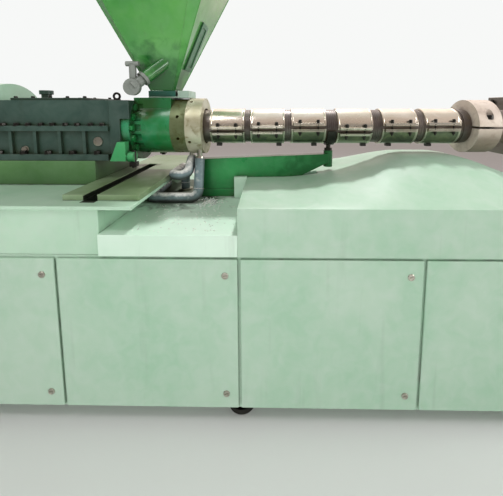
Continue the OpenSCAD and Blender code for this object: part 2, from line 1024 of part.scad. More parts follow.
// The valve's cover faces the front, and its stem carries a cross bar
module drain_valve() {
    reach = spout_len + valve_neck_len;
    cover_x = spout_x + reach * cos(spout_turn + 180) * sin(spout_dip);
    cover_y = spout_y + reach * sin(spout_turn + 180) * sin(spout_dip);
    cover_z = spout_z + reach * cos(spout_dip);
    color("#8b938d") {
        on_spout(spout_len) {
            cylinder(d = valve_flange_d, h = 14);
            cylinder(d = valve_neck_d, h = valve_neck_len);
        }
        on_axis(throat_x)
            translate([cover_x, cover_y, cover_z]) {
                translate([0, 12, 0])
                    rotate([90, 0, 0]) {
                        cylinder(d = valve_neck_d, h = 14);
                        cylinder(d = valve_cover_d, h = 22);
                    }
                translate([0, 12, 0]) {
                    sphere(d = valve_neck_d + 6);
                    cylinder(d = valve_stem_d, h = 96);
                    translate([-valve_bar_len / 2, 0, 100])
                        rod_x(valve_bar_d, valve_bar_len);
                }
            }
    }
}

// Cooling pipes: bent tubes from the flange ring down to the deck
pipe_gap = 2;
pipe_front_x = -20;
pipe_front_z = pipe_d / 2 + seat - deck_drop;
pipe_front_left = wall_x + bend_r + 6;
pipe_rear_x = pipe_front_x - pipe_d - pipe_gap;
pipe_rear_z = -225;
pipe_rear_left = table_right + pipe_d / 2 + pipe_gap;

pipe_y = -126;
pipe_front_back = 150;
pipe_rear_back = 90;
steep = [0, 0.28, 0.96];
shallow = [0, 0.8, 0.6];

front_route = [
    [pipe_front_x, pipe_y, pipe_front_z] + 184 * steep,
    [pipe_front_x, pipe_y, pipe_front_z],
    [pipe_front_left, pipe_y, pipe_front_z],
    [pipe_front_left, pipe_front_back, pipe_front_z],
    [wall_x, pipe_front_back, pipe_front_z]
];
rear_route = [
    [pipe_rear_x, pipe_y, pipe_rear_z] + 110 * shallow,
    [pipe_rear_x, pipe_y, pipe_rear_z],
    [pipe_rear_left, pipe_y, pipe_rear_z],
    [pipe_rear_left, pipe_rear_back, pipe_rear_z],
    [pipe_rear_left, pipe_rear_back, -deck_drop]
];

// Turns +Z to point along a direction
module along(dir) {
    rotate([0, acos(dir[2] / norm(dir)), atan2(dir[1], dir[0])])
        children();
}

// Straight tubes between the points of a route, with a quarter bend at each corner
module bent_pipe(route) {
    n = len(route);
    for (i = [0 : n - 2]) {
        step = route[i + 1] - route[i];
        dir = step / norm(step);
        cut_start = i == 0 ? 0 : bend_r;
        cut_end = i == n - 2 ? 0 : bend_r;
        translate(route[i] + dir * cut_start)
            along(dir)
                cylinder(d = pipe_d, h = norm(step) - cut_start - cut_end);
    }
    for (i = [1 : n - 2]) {
        u = (route[i] - route[i - 1]) / norm(route[i] - route[i - 1]);
        v = (route[i + 1] - route[i]) / norm(route[i + 1] - route[i]);
        w = cross(-v, u);
        c = route[i] - u * bend_r + v * bend_r;
        multmatrix([
            [-v[0], u[0], w[0], c[0]],
            [-v[1], u[1], w[1], c[1]],
            [-v[2], u[2], w[2], c[2]],
            [0, 0, 0, 1]
        ])
            rotate_extrude(angle = 90)
                translate([bend_r, 0])
                    circle(d = pipe_d);
    }
}

module cooling_pipes() {
    $fn = 48;
    color("#8a9a94")
        on_axis() {
            bent_pipe(front_route);
            bent_pipe(rear_route);
        }
}

nipple_d = 24;
nut_d = 40;
nut_h = 10;
socket_d = pipe_d + 26;
socket_t = 10;

// A nut on a pipe's upper end and a nipple from there up into the flange ring
module pipe_end(route) {
    dir = (route[0] - route[1]) / norm(route[0] - route[1]);
    difference() {
        union() {
            translate(route[0])
                along(dir)
                    cylinder(d = nut_d, h = nut_h);
            translate(route[0])
                cylinder(d = nipple_d, h = -route[0][2]);
        }
        translate(route[1])
            along(dir)
                cylinder(d = pipe_d + 2 * seat, h = norm(route[0] - route[1]));
        translate([-2 * ring2_len, 0, 0])
            rod_x(ring_d + 2 * seat, 4 * ring2_len);
    }
}

module pipe_fittings() {
    color("#c9ccc4")
        on_axis() {
            pipe_end(front_route);
            pipe_end(rear_route);
            translate([pipe_rear_left, pipe_rear_back, -deck_drop])
                rotate([0, -90, 0])
                    tube_x(socket_d, pipe_d + 2 * seat, socket_t);
        }
}

// Split clamp round the barrel's and the adapter's end flanges
clamp_hole_d = 20;
pocket_d = 32;
pocket_floor = 38;
clamp_bolt_y = end_flange_d / 2 + 4 + pocket_d / 2;

module clamp_half(has_pockets) {
    difference() {
        tube_x(clamp_d, barrel_d + 2 * seat, clamp_len);
        translate([barrel_len - end_flange_t - seat - clamp_x, 0, 0])
            rod_x(end_flange_d + 2 * seat, 2 * end_flange_t + 2 * seat);
        block([-over, -clamp_d, -clamp_d], [clamp_len + over, clamp_d, clamp_slit / 2]);
        both_sides()
            translate([clamp_len / 2, -clamp_bolt_y, 0])
                if (has_pockets) {
                    cylinder(d = clamp_hole_d + 2 * seat, h = clamp_d);
                    translate([0, 0, pocket_floor])
                        cylinder(d = pocket_d, h = clamp_d);
                } else {
                    cylinder(d = clamp_hole_d + 2 * seat, h = pocket_floor);
                }
    }
}

module clamp_halves() {
    color(clamp_brown)
        on_axis(clamp_x) {
            clamp_half(true);
            mirror([0, 0, 1])
                clamp_half(false);
        }
}

die_x = barrel_len + die_neck_len;
tie_flats = 30;
tie_inset = 30;

module head_bolts() {
    color(dark_steel) {
        on_axis(clamp_x + clamp_len / 2)
            both_sides()
                translate([0, -clamp_bolt_y, 0]) {
                    translate([0, 0, seat - pocket_floor])
                        cylinder(d = clamp_hole_d, h = 2 * pocket_floor - seat);
                    translate([0, 0, pocket_floor])
                        cylinder(d = 29, h = 20);
                }
        on_axis(die_x - 16)
            both_sides()
                for (z = [-1, 1])
                    translate([0, die_w / 2 - tie_inset, z * (die_w / 2 - tie_inset)])
                        rotate([0, 90, 0])
                            hex_head(tie_flats, 16);
    }
}

// Adapter, die body and die ring
module die_adapter() {
    color(clamp_brown)
        on_axis(barrel_len)
            difference() {
                union() {
                    rod_x(end_flange_d, end_flange_t);
                    rod_x(barrel_d, die_neck_len);
                }
                translate([-over, 0, 0])
                    rod_x(channel_d, die_neck_len + 2 * over);
            }
}

die_top_t = 25;
die_chamfer = 30;

module die_body() {
    h = die_w / 2;
    color("#8f8a82")
        on_axis(die_x)
            difference() {
                union() {
                    rotate([90, 0, 90])
                        linear_extrude(die_len)
                            polygon(cut_corners(die_w - 2 * die_top_t, die_chamfer));
                    block([0, -h, h - die_top_t - over], [die_len, h, h]);
                    block([0, -h, -h], [die_len, h, -h + die_top_t + over]);
                    block([0, -h, -h], [die_top_t, h, h]);
                    block([die_len - die_top_t, -h, -h], [die_len, h, h]);
                }
                translate([-over, 0, 0])
                    rod_x(channel_d, die_len + 2 * over);
            }
}

ring_x = die_x + die_len;
ring_bolt_pcd = 185;
ring_hole_d = 12;
ring_hole_depth = 30;

module die_ring() {
    color("#77736c")
        on_axis(ring_x)
            difference() {
                union() {
                    rod_x(die_ring_d, die_ring_len);
                    rod_x(lip_d, die_ring_len + lip_len);
                }
                translate([-over, 0, 0])
                    rod_x(outlet_d, die_ring_len + lip_len + 2 * over);
                for (a = [22.5 : 45 : 359])
                    rotate([a, 0, 0])
                        translate([die_ring_len - ring_hole_depth, ring_bolt_pcd / 2, 0])
                            rod_x(ring_hole_d, ring_hole_depth + over);
            }
}

bed_cabinet();
levelling_feet();
bed_panels();
low_deck();
table_top();
slotted_plate();
barrel_hood();
drive_pedestal();
gearbox_body();
gearbox_cover();
gearbox_end_plate();
lifting_eye();
belt_guard();
feed_housing();
housing_bolts();
housing_foot();
foot_bolts();
spanner_ring();
flange_ring();
barrel();
screw();
heater_band(0);  // heater_band_1
heater_band(1);  // heater_band_2
heater_band(2);  // heater_band_3
heater_band(3);  // heater_band_4
heater_band(4);  // heater_band_5
heater_band(5);  // heater_band_6
band_bolts();
terminal_boxes();
support_arm();
barrel_saddle();
slide_gate();
hopper_flange();
hopper_body();
hopper_rim();
sight_window();
drain_spout();
drain_valve();
cooling_pipes();
pipe_fittings();
clamp_halves();
head_bolts();
die_adapter();
die_body();
die_ring();
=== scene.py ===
# %% [markdown]
# # Plastic extruder
# This file dresses the solid model of a plastic extruder: a machine that melts plastic
# granules with a screw and presses the melt through a die.  The solids give every size.
# Here they get their finishes, and the pieces that light shows up best, such as rounded
# castings and polished bands, are made again as finer meshes in the same places.

import bmesh
import bpy
import math
import random
from mathutils import Matrix, Vector


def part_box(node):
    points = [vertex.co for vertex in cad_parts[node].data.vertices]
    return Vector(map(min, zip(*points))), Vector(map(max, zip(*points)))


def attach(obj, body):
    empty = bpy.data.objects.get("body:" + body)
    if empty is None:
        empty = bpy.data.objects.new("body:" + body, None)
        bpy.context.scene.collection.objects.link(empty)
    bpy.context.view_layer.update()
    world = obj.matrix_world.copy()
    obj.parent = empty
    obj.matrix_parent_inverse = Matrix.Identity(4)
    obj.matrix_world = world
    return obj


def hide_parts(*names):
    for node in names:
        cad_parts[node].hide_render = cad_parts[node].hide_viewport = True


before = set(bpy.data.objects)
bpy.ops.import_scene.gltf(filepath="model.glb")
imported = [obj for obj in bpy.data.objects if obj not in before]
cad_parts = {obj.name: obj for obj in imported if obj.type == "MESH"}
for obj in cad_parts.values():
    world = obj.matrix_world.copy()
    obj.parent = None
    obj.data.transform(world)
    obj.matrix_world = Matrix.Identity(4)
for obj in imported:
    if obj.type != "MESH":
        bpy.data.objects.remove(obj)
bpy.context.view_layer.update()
scene = bpy.context.scene
print("nodes:", len(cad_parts))

# %% [markdown]
# ## Where things are
# The barrel is the machine's ruler.  Most pieces sit at a distance along it, counted from
# the shoulder, where the barrel leaves its flange ring.  The same sizes as in the solids
# are repeated here in metres, so that each fine piece lands on its solid.

# %% Places along the barrel
AXIS_Z = 1.1
SHOULDER_X = -0.308
BARREL_R = 0.080
BED_HALF = 0.480
DECK_DROP = 0.355


def on_axis(s, y=0.0, z=0.0):
    """A point given by its distance from the shoulder, and its offsets from the axis."""
    return Vector((SHOULDER_X + s, y, AXIS_Z + z))


print("shoulder at", tuple(round(v, 3) for v in on_axis(0)))

# %% [markdown]
# ## Camera
# The picture is seen through a wide lens, about one and a half metres in front of the
# barrel and a little above it.  The lens could be tilted down until the machine sits in the
# upper part of the frame, but then upright edges would lean.  So it is tilted by a few
# degrees only, and a lens shift does the rest.

# %% Camera
IMAGE_W = 503
FOCAL_PX = 288.13
SENSOR_MM = 36.0

cam_data = bpy.data.cameras.new("workshop_camera")
cam_data.sensor_width = SENSOR_MM
cam_data.lens = FOCAL_PX / IMAGE_W * SENSOR_MM
cam_data.shift_x = -0.027
cam_data.shift_y = -0.22
cam_data.clip_start = 0.05
cam_data.clip_end = 100.0
camera = bpy.data.objects.new("workshop_camera", cam_data)
camera.location = (0.007, -1.4484, 1.1943)
camera.rotation_euler = (math.radians(84.0), 0.0, 0.014)
scene.collection.objects.link(camera)
scene.camera = camera
print("lens", round(cam_data.lens, 2), "mm")

# %% [markdown]
# ## The room that steel reflects
# Polished steel shows what is around it, so the room matters as much as the lamps.  The
# world could be one even grey, but steel would look like plastic in it.  So it is a ramp
# from the floor over dull warm walls to a bright ceiling, which gives the bands their light
# and dark stripes.  It is brighter on the right and behind the machine.  Matt surfaces get
# only three tenths of it, which leaves the shadows to the lamps, and the camera sees a
# plain pale backdrop instead.

# %% Wiring nodes
def fill(tree, socket, value):
    """Wire another node's output to an input, or write a plain value on it."""
    if isinstance(value, bpy.types.NodeSocket):
        tree.links.new(value, socket)
    else:
        socket.default_value = value


def add_node(tree, kind, inputs=(), **settings):
    """Add a node, set its options and fill its inputs."""
    node = tree.nodes.new(kind)
    for key, value in settings.items():
        setattr(node, key, value)
    for socket, value in dict(inputs).items():
        fill(tree, node.inputs[socket], value)
    return node


def remapped(tree, value, low, high, out_low=0.0, out_high=1.0):
    """Value moved from one range to another, cut off beyond its ends."""
    return add_node(tree, "ShaderNodeMapRange", {
        "Value": value, "From Min": low, "From Max": high, "To Min": out_low,
        "To Max": out_high}).outputs["Result"]


def reckoned(tree, kind, a, b):
    """The result of one sum, such as ADD or MULTIPLY."""
    return add_node(tree, "ShaderNodeMath", {0: a, 1: b}, operation=kind).outputs[0]


print("nodes can be wired")

# %% The room's colours
FLOOR_GLOW = (0.34, 0.36, 0.34, 1)
CEILING = (0.82, 0.82, 0.82, 1)
BACKDROP = (0.93, 0.94, 0.93, 1)
# Each stop up the walls: how high, how light and how warm
WALLS = ((0.27, 0.26, 0.0), (0.36, 0.17, 0.08), (0.58, 0.44, 0.20), (0.80, 0.52, 0.17),
         (0.93, 0.64, 0.08))

scene.view_settings.view_transform = "Standard"
world = bpy.data.worlds.new("workshop")
scene.world = world
world.use_nodes = True
room = world.node_tree
room.nodes.clear()
heading = add_node(room, "ShaderNodeTexCoord").outputs["Generated"]
rightward, backward, upward = add_node(room, "ShaderNodeSeparateXYZ", {0: heading}).outputs
ramp = add_node(room, "ShaderNodeValToRGB", {"Fac": remapped(room, upward, -0.4, 1.0)})
stops = ramp.color_ramp.elements
stops[0].color = FLOOR_GLOW
stops[1].color = CEILING
for height, grey, warm in WALLS:
    stops.new(height).color = (grey, grey * (1 - warm), grey * (1 - 1.4 * warm), 1)
print("stops up the walls:", len(stops))

# %% The room's brightness
ray = add_node(room, "ShaderNodeLightPath").outputs
by_side = remapped(room, rightward, -1.0, 1.0, 0.70, 1.35)
on_matt = remapped(room, ray["Is Diffuse Ray"], 0.0, 1.0, 1.0, 0.30)
by_depth = remapped(room, backward, 0.0, 1.0, 1.0, 3.6)
power = reckoned(room, "MULTIPLY", reckoned(room, "MULTIPLY", by_side, on_matt), by_depth)
reflected = add_node(room, "ShaderNodeBackground",
                     {"Color": ramp.outputs["Color"], "Strength": power})
backdrop = add_node(room, "ShaderNodeBackground", {"Color": BACKDROP, "Strength": 1.0})
shown = add_node(room, "ShaderNodeMixShader", {
    "Fac": ray["Is Camera Ray"], 1: reflected.outputs[0], 2: backdrop.outputs[0]})
add_node(room, "ShaderNodeOutputWorld", {"Surface": shown.outputs[0]})
print("world nodes:", len(room.nodes))

# %% [markdown]
# ## Lamps
# A small strong lamp high behind the machine stands for a window.  It throws the barrel's
# shadow on the hood, with a fairly crisp edge because the lamp is small.  Three broad weak
# lamps fill in from the roof, the front and the right.  The front one is kept out of
# reflections, because its rectangle would show in every polished band.

# %% Lamps
def area_lamp(name, place, aim, size, watts):
    """A rectangular lamp at a place, turned towards a point."""
    data = bpy.data.lights.new(name, "AREA")
    data.shape = "RECTANGLE"
    data.size, data.size_y = size
    data.energy = watts
    lamp = bpy.data.objects.new(name, data)
    lamp.location = place
    lamp.rotation_euler = (Vector(aim) - Vector(place)).to_track_quat("-Z", "Y").to_euler()
    scene.collection.objects.link(lamp)
    return lamp


area_lamp("window_light", (0.55, 1.75, 4.1), (0.1, 0, 0.9), (0.30, 0.30), 100)
area_lamp("roof_light", (-1.2, -1.6, 3.4), (-0.3, -0.2, 0.8), (0.9, 0.9), 22)
front_light = area_lamp("front_light", (-0.6, -3.6, 1.35), (-0.1, 0, 1.1), (2.6, 1.4), 56)
front_light.visible_glossy = False
area_lamp("right_light", (2.9, -0.9, 1.75), (-0.5, 0, 1.4), (1.4, 1.4), 42)

# %% [markdown]
# The floor only has to carry the machine's shadow, so it is one big matt square, plain and
# pale.

# %% Floor
FLOOR_HALF = 14.0
FLOOR_GREY = (0.80, 0.81, 0.80, 1)

floor_mesh = bpy.data.meshes.new("studio_floor")
bm = bmesh.new()
bmesh.ops.create_grid(bm, x_segments=1, y_segments=1, size=FLOOR_HALF)
bm.to_mesh(floor_mesh)
bm.free()
floor = bpy.data.objects.new("studio_floor", floor_mesh)
scene.collection.objects.link(floor)
floor_mat = bpy.data.materials.new("pale_floor")
floor_mat.use_nodes = True
floor_shader = floor_mat.node_tree.nodes["Principled BSDF"]
floor_shader.inputs["Base Color"].default_value = FLOOR_GREY
floor_shader.inputs["Roughness"].default_value = 0.7
floor_mesh.materials.append(floor_mat)
print("floor", floor.dimensions[:])

# %% [markdown]
# ## Finishes
# A workshop machine has few finishes: thick enamel on castings, thin enamel on sheet,
# turned and polished steel, bare cast iron, zinc.  A picture could be wrapped round each
# piece, but it would stretch on curves and stop at seams.  So each finish is a small recipe
# of noise: large soft noise for uneven colour, stretched noise for tool marks, fine noise
# for the skin.  `Recipe` adds a node and wires it in a single call.

# %% A helper that writes recipes
def linear(code):
    """Blender's linear colour for a paint chart's hex code."""
    parts = [int(code[i:i + 2], 16) / 255 for i in (0, 2, 4)]
    return (*[p / 12.92 if p <= 0.04045 else ((p + 0.055) / 1.055) ** 2.4 for p in parts], 1.0)


class Recipe:
    """One material, built from the top of a recipe to its end."""

    def __init__(self, name):
        self.mat = bpy.data.materials.new(name)
        self.mat.use_nodes = True
        self.tree = self.mat.node_tree
        self.shader = self.tree.nodes["Principled BSDF"]
        self.place = self.add("ShaderNodeTexCoord").outputs["Object"]

    def add(self, kind, inputs=(), **settings):
        return add_node(self.tree, kind, inputs, **settings)

    def step(self, value, low, high, out_low=0.0, out_high=1.0):
        """Value remapped so that low gives out_low and high gives out_high."""
        return remapped(self.tree, value, low, high, out_low, out_high)

    def reckon(self, kind, a, b):
        return reckoned(self.tree, kind, a, b)

    def mix(self, share, a, b):
        """Colour a where the share is 0, and colour b where it is 1."""
        return self.add("ShaderNodeMix", {"Factor": share, "A": a, "B": b},
                        data_type="RGBA").outputs["Result"]

    def noise(self, scale, detail=3.0, stretch=None, rough=0.55, warp=0.0):
        """Cloudy values round a half; a stretch makes them long and thin."""
        place = self.place
        if stretch:
            place = self.add("ShaderNodeMapping", {"Vector": place, "Scale": stretch}).outputs[0]
        return self.add("ShaderNodeTexNoise", {
            "Vector": place, "Scale": scale, "Detail": detail, "Roughness": rough,
            "Distortion": warp}).outputs["Fac"]

    def bump(self, height, strength, depth, under=None):
        """Dents and bumps that light feels; under is a coarser layer below."""
        node = self.add("ShaderNodeBump", {"Height": height, "Strength": strength,
                                           "Distance": depth})
        if under is not None:
            fill(self.tree, node.inputs["Normal"], under)
        return node.outputs["Normal"]

    def done(self, color, rough, metal=0.0, normal=None, coat=0.0):
        """Wire the finished layers to the shader."""
        sockets = self.shader.inputs
        fill(self.tree, sockets["Base Color"], color)
        fill(self.tree, sockets["Roughness"], rough)
        fill(self.tree, sockets["Metallic"], metal)
        if normal is not None:
            fill(self.tree, sockets["Normal"], normal)
        sockets["Coat Weight"].default_value = coat
        sockets["Coat Roughness"].default_value = 0.12
        return self.mat


print("recipes can be written")

# %% [markdown]
# Dirt and wear aren't spread evenly.  Grease gathers in corners, dust lies on what faces
# up, and paint comes off at edges.  Painted shade, highlights and reflections go to the same
# kinds of place: corners, undersides and tops, edges, heights and the inside of a slot.  A
# dirty mask could be painted by hand for each piece.  These five helpers find such places by
# themselves, so one recipe suits every piece that wears the finish.

# %% Where dirt, wear and painted light go
def corners(r, reach):
    """1 in the open and towards 0 in corners."""
    return r.add("ShaderNodeAmbientOcclusion", {"Distance": reach}, samples=6).outputs["AO"]


def height_of(r):
    """How far up the machine a point lies."""
    return r.add("ShaderNodeSeparateXYZ", {0: r.place}).outputs["Z"]


def facing_up(r):
    """1 on a face that looks up, 0 on a wall and -1 on an underside."""
    normal = r.add("ShaderNodeNewGeometry").outputs["Normal"]
    return r.add("ShaderNodeSeparateXYZ", {0: normal}).outputs["Z"]


def edges(r, width):
    """Near 1 on sharp edges: a rounded normal differs there from the real one."""
    soft = r.add("ShaderNodeBevel", {"Radius": width}, samples=6).outputs["Normal"]
    hard = r.add("ShaderNodeNewGeometry").outputs["Normal"]
    same = r.add("ShaderNodeVectorMath", {0: soft, 1: hard}, operation="DOT_PRODUCT")
    return r.step(same.outputs["Value"], 0.985, 0.90)


def inside(r, low, high):
    """1 inside a box and 0 outside it."""
    parts = r.add("ShaderNodeSeparateXYZ", {0: r.place}).outputs
    whole = 1.0
    for k in range(3):
        middle, half = (low[k] + high[k]) / 2, (high[k] - low[k]) / 2
        off = r.reckon("ABSOLUTE", r.reckon("SUBTRACT", parts[k], middle), 0.0)
        whole = r.reckon("MULTIPLY", r.step(off, half, half - 0.001), whole)
    return whole


print("dirt can be placed")

# %% [markdown]
# ## Enamel
# Enamel on a rough casting is thick and glossy with a soft orange-peel skin.  On sheet it
# is thinner, flatter and chalky where it has been wiped for years.  Grease and painted shade
# turn it darker in corners, painted shade darkens a casting's wide hollows, runs leave thin
# streaks, and knocked edges and nicks show the dull primer.  Each of these is a layer of its
# own here, laid over the one before.

# %% Enamel's dirt and painted shade
CHALK = linear("c9d8cd")
# Painted shade for the inside of the plate's slot.
SLOT_PAINTED_SHADE = linear("10190c")
NOOK_DARK = linear("0c2408")
# Grease and painted shade in corners share this colour.
GREASE_SHADE_COLOUR = linear("2f2e12")
STREAK = linear("3a3522")
PRIMER = linear("5b5348")


def darkened_spot(r, paint, patch, centre, reach, dark_tint):
    """A darker place round a point, with a ragged rim at its reach: a stain on some pieces and a
    painted shadow on others.
    """
    gap = r.add("ShaderNodeVectorMath", {0: r.place, 1: centre}, operation="DISTANCE")
    ragged = r.reckon("ADD", gap.outputs["Value"],
                      r.step(patch, 0.2, 0.8, -0.5 * reach, 0.5 * reach))
    return r.mix(r.step(ragged, reach, reach * 0.45, 0.0, 0.92), paint, linear(dark_tint))


def shaded_off_band(r, paint, patch, middle, half, dark_tint):
    """Painted shade above and below a level band round one height, which leaves the band
    lighter.
    """
    off = r.reckon("ABSOLUTE", r.reckon("SUBTRACT", height_of(r), middle), 0.0)
    off = r.reckon("ADD", off, r.step(patch, 0.2, 0.8, -0.3 * half, 0.3 * half))
    return r.mix(r.step(off, half, half * 1.7, 0.0, 0.75), paint, linear(dark_tint))


def nooked(r, paint, dark):
    """Deep shade in a casting's wide hollows."""
    nook = r.step(corners(r, 0.14), 0.95, 0.45, 0.0, 0.75)
    return r.mix(nook, paint, r.mix(0.78, linear(dark), NOOK_DARK))


def streaked(r, paint, grime_and_shade):
    """Thin runs down every wall."""
    streak = r.noise(22, 4, stretch=(1, 1, 0.07))
    wall = r.step(facing_up(r), 0.3, -0.1)
    share = r.reckon("MULTIPLY", r.step(streak, 0.60, 0.78, 0, 0.30 * grime_and_shade), wall)
    return r.mix(share, paint, STREAK)


print("dirt can be laid on paint")

# %% [markdown]
# The recipe takes one number for each thing that differs between paints: `gloss` is the
# roughness of clean paint, `skin` the depth of its grain, `grime_and_shade` its grime and the
# painted shade in its corners, `chips` its age, and `haze` its chalk.  `stain_and_shade_tone`
# is a darker place (centre, reach, colour), a stain on some pieces and a painted shadow on
# others, `painted_shade_tone` a band (height, half its width, colour) with painted shade above
# and below it, `slot` a box whose inside gets painted shade, and `coat` a clear shine.

# %% Enamel
def enamel(name, color, dark, gloss=0.28, skin=0.25, grime_and_shade=0.5, chips=0.5, cast=True,
           haze=0.06, stain_and_shade_tone=None, painted_shade_tone=None, slot=None, coat=0.25):
    """Painted metal, from the paint's two shades to its nicks and its grain."""
    r = Recipe(name)
    patch = r.noise(17, 5, warp=0.6)
    paint = r.mix(r.step(r.noise(3.2, 4), 0.34, 0.64), linear(color), linear(dark))
    paint = r.mix(r.step(patch, 0.35, 0.8, 0.0, haze), paint, CHALK)
    # A stain on some pieces and a painted shadow on others, round a point.
    if stain_and_shade_tone is not None:
        paint = darkened_spot(r, paint, patch, *stain_and_shade_tone)
    # Painted shade: the inside of the slot's box turns nearly black.
    if slot is not None:
        paint = r.mix(inside(r, *slot), paint, SLOT_PAINTED_SHADE)
    # Painted shade above and below a band of height, which leaves the band lighter.
    if painted_shade_tone is not None:
        paint = shaded_off_band(r, paint, patch, *painted_shade_tone)
    if cast:
        paint = nooked(r, paint, dark)
    # Grease and painted shade: patches darken where corners close in.
    corner_grease_and_shade = r.reckon("MULTIPLY", r.step(corners(r, 0.05), 0.75, 0.25),
                    r.step(patch, 0.25, 0.7))
    corner_grease_and_shade = r.reckon("MULTIPLY", corner_grease_and_shade, grime_and_shade)
    paint = r.mix(corner_grease_and_shade, paint, GREASE_SHADE_COLOUR)
    paint = streaked(r, paint, grime_and_shade)
    worn = r.reckon("MULTIPLY", edges(r, 0.003), r.step(r.noise(60, 6, rough=0.7), 0.50, 0.62))
    nick = r.step(r.noise(42, 7, rough=0.75, warp=0.4), 0.705, 0.72)
    bare = r.reckon("MAXIMUM", r.reckon("MULTIPLY", worn, chips),
                    r.reckon("MULTIPLY", nick, chips))
    paint = r.mix(bare, paint, PRIMER)
    rough = r.step(r.noise(9, 3), 0.3, 0.7, gloss, gloss + 0.16)
    rough = r.reckon("MAXIMUM", rough, r.reckon("MULTIPLY", bare, 0.6))
    rough = r.reckon("MAXIMUM", rough, r.reckon("MULTIPLY", corner_grease_and_shade, 0.9))
    grain = r.bump(r.noise(95 if cast else 14, 4), skin, 0.0012 if cast else 0.0025)
    normal = r.bump(r.noise(420, 2), 0.10, 0.0003, grain)
    normal = r.bump(r.reckon("MULTIPLY", bare, -1.0), 0.5, 0.0004, normal)
    return r.done(paint, rough, normal=normal, coat=coat if gloss < 0.4 else 0.0)


print("enamel can be mixed")

# %% [markdown]
# The castings were painted green, each part of the machine in its own batch, and every
# batch has aged in its own way.  The feed housing gets painted shade above and below a band
# at the axis's height, which leaves the band lighter, the arm gets a painted shadow near its
# post, and the hopper is darker round its neck.

# %% Greens of the castings
casting_green = enamel("casting_green_enamel", "1f9a4b", "0d7639", gloss=0.25, grime_and_shade=0.8)
# The arm's darker place near its post is a painted shadow of the barrel.
arm_green = enamel("arm_green_enamel", "1f9a4b", "0d7639", gloss=0.25, grime_and_shade=0.8,
                   stain_and_shade_tone=((0.34, -0.02, 0.985), 0.34, "065c28"))
# The housing's brown patch near its top is a stain.  Its band paints shade above and below the
# axis's height and leaves a lighter middle, and its pale teal, spread in clouds, is partly a
# painted sheen.
housing_green = enamel("housing_green_enamel", "48b88e", "107438", gloss=0.22, grime_and_shade=1.0,
                       stain_and_shade_tone=((-0.575, -0.10, 1.205), 0.070, "4d4a1c"),
                       painted_shade_tone=(AXIS_Z - 0.012, 0.058, "0e5a20"))
hopper_green = enamel("hopper_green_enamel", "57a349", "3b8d3b", gloss=0.30, skin=0.10,
                      grime_and_shade=0.5, chips=0.25, cast=False, coat=0.8,
                      stain_and_shade_tone=((-0.505, -0.07, 1.30), 0.20, "0a5a1c"))
bracket_green = enamel("bracket_green_enamel", "4cb270", "3d9f60", gloss=0.33, grime_and_shade=0.7)
gear_grey = enamel("gearbox_enamel", "375148", "2a433b", gloss=0.34, grime_and_shade=0.7)
olive_green = enamel("pedestal_enamel", "5e8a52", "4d7744", gloss=0.38, grime_and_shade=0.8)
teal_green = enamel("throat_flange_enamel", "2b7a66", "226655", gloss=0.3, grime_and_shade=0.8)
window_green = enamel("window_frame_enamel", "3c7d50", "2d6740", gloss=0.38, grime_and_shade=0.6)
valve_paint = enamel("valve_enamel", "8d938c", "7b817b", gloss=0.4, grime_and_shade=0.7)
print("enamels so far:", len([m for m in bpy.data.materials if "enamel" in m.name]))

# %% [markdown]
# The bed is pale mint.  Its deck and its table carry an old oil stain under the pipes, and
# the slot in the plate is painted nearly black as painted shade.  The deck's mint is painted
# lighter than the rest as painted light, because the deck lies in shade.

# %% Mint of the bed
# The box round the plate's slot, whose inside gets painted shade.
PLATE_SLOT = ((-0.686, -0.440, 0.80), (-0.630, 0.180, 0.867))

mint = enamel("mint_sheet_enamel", "b4d0ba", "a2c8ac", gloss=0.40, skin=0.05, grime_and_shade=0.5,
              chips=0.12, cast=False, haze=0.42)
# The deck's mint is a lighter copy of the bed's mint: painted light, because the deck lies in
# shade.
lit_deck_mint = enamel("deck_sheet_enamel", "ddf4e3", "cfecd7", gloss=0.42, skin=0.06, grime_and_shade=0.9,
                   chips=0.3, cast=False, stain_and_shade_tone=((-0.46, 0.10, 0.745), 0.34, "2b2c10"))
table_mint = enamel("table_sheet_enamel", "bcdcc3", "a8cfb2", gloss=0.40, skin=0.05,
                    grime_and_shade=0.8, chips=0.25, cast=False, haze=0.3,
                    stain_and_shade_tone=((-0.50, 0.06, 0.80), 0.24, "2b2c10"), slot=PLATE_SLOT)
plate_grey = enamel("plate_enamel", "92a985", "71895f", gloss=0.36, skin=0.12, grime_and_shade=1.0,
                    chips=0.6, cast=False, slot=PLATE_SLOT)
print("enamels:", len([m for m in bpy.data.materials if "enamel" in m.name]))

# %% [markdown]
# ## Steel
# Turned steel carries fine rings round its axis.  They could be cut into the mesh, but
# there are thousands.  All turned parts here lie along X, so a noise that changes fast along
# X and hardly at all across it gives them in one step.  Ground and forged parts have marks
# that flow the other way.

# %% Turned and ground steel
ALONG_X = (1, 0.02, 0.02)
FLOWING = (0.03, 1, 1)


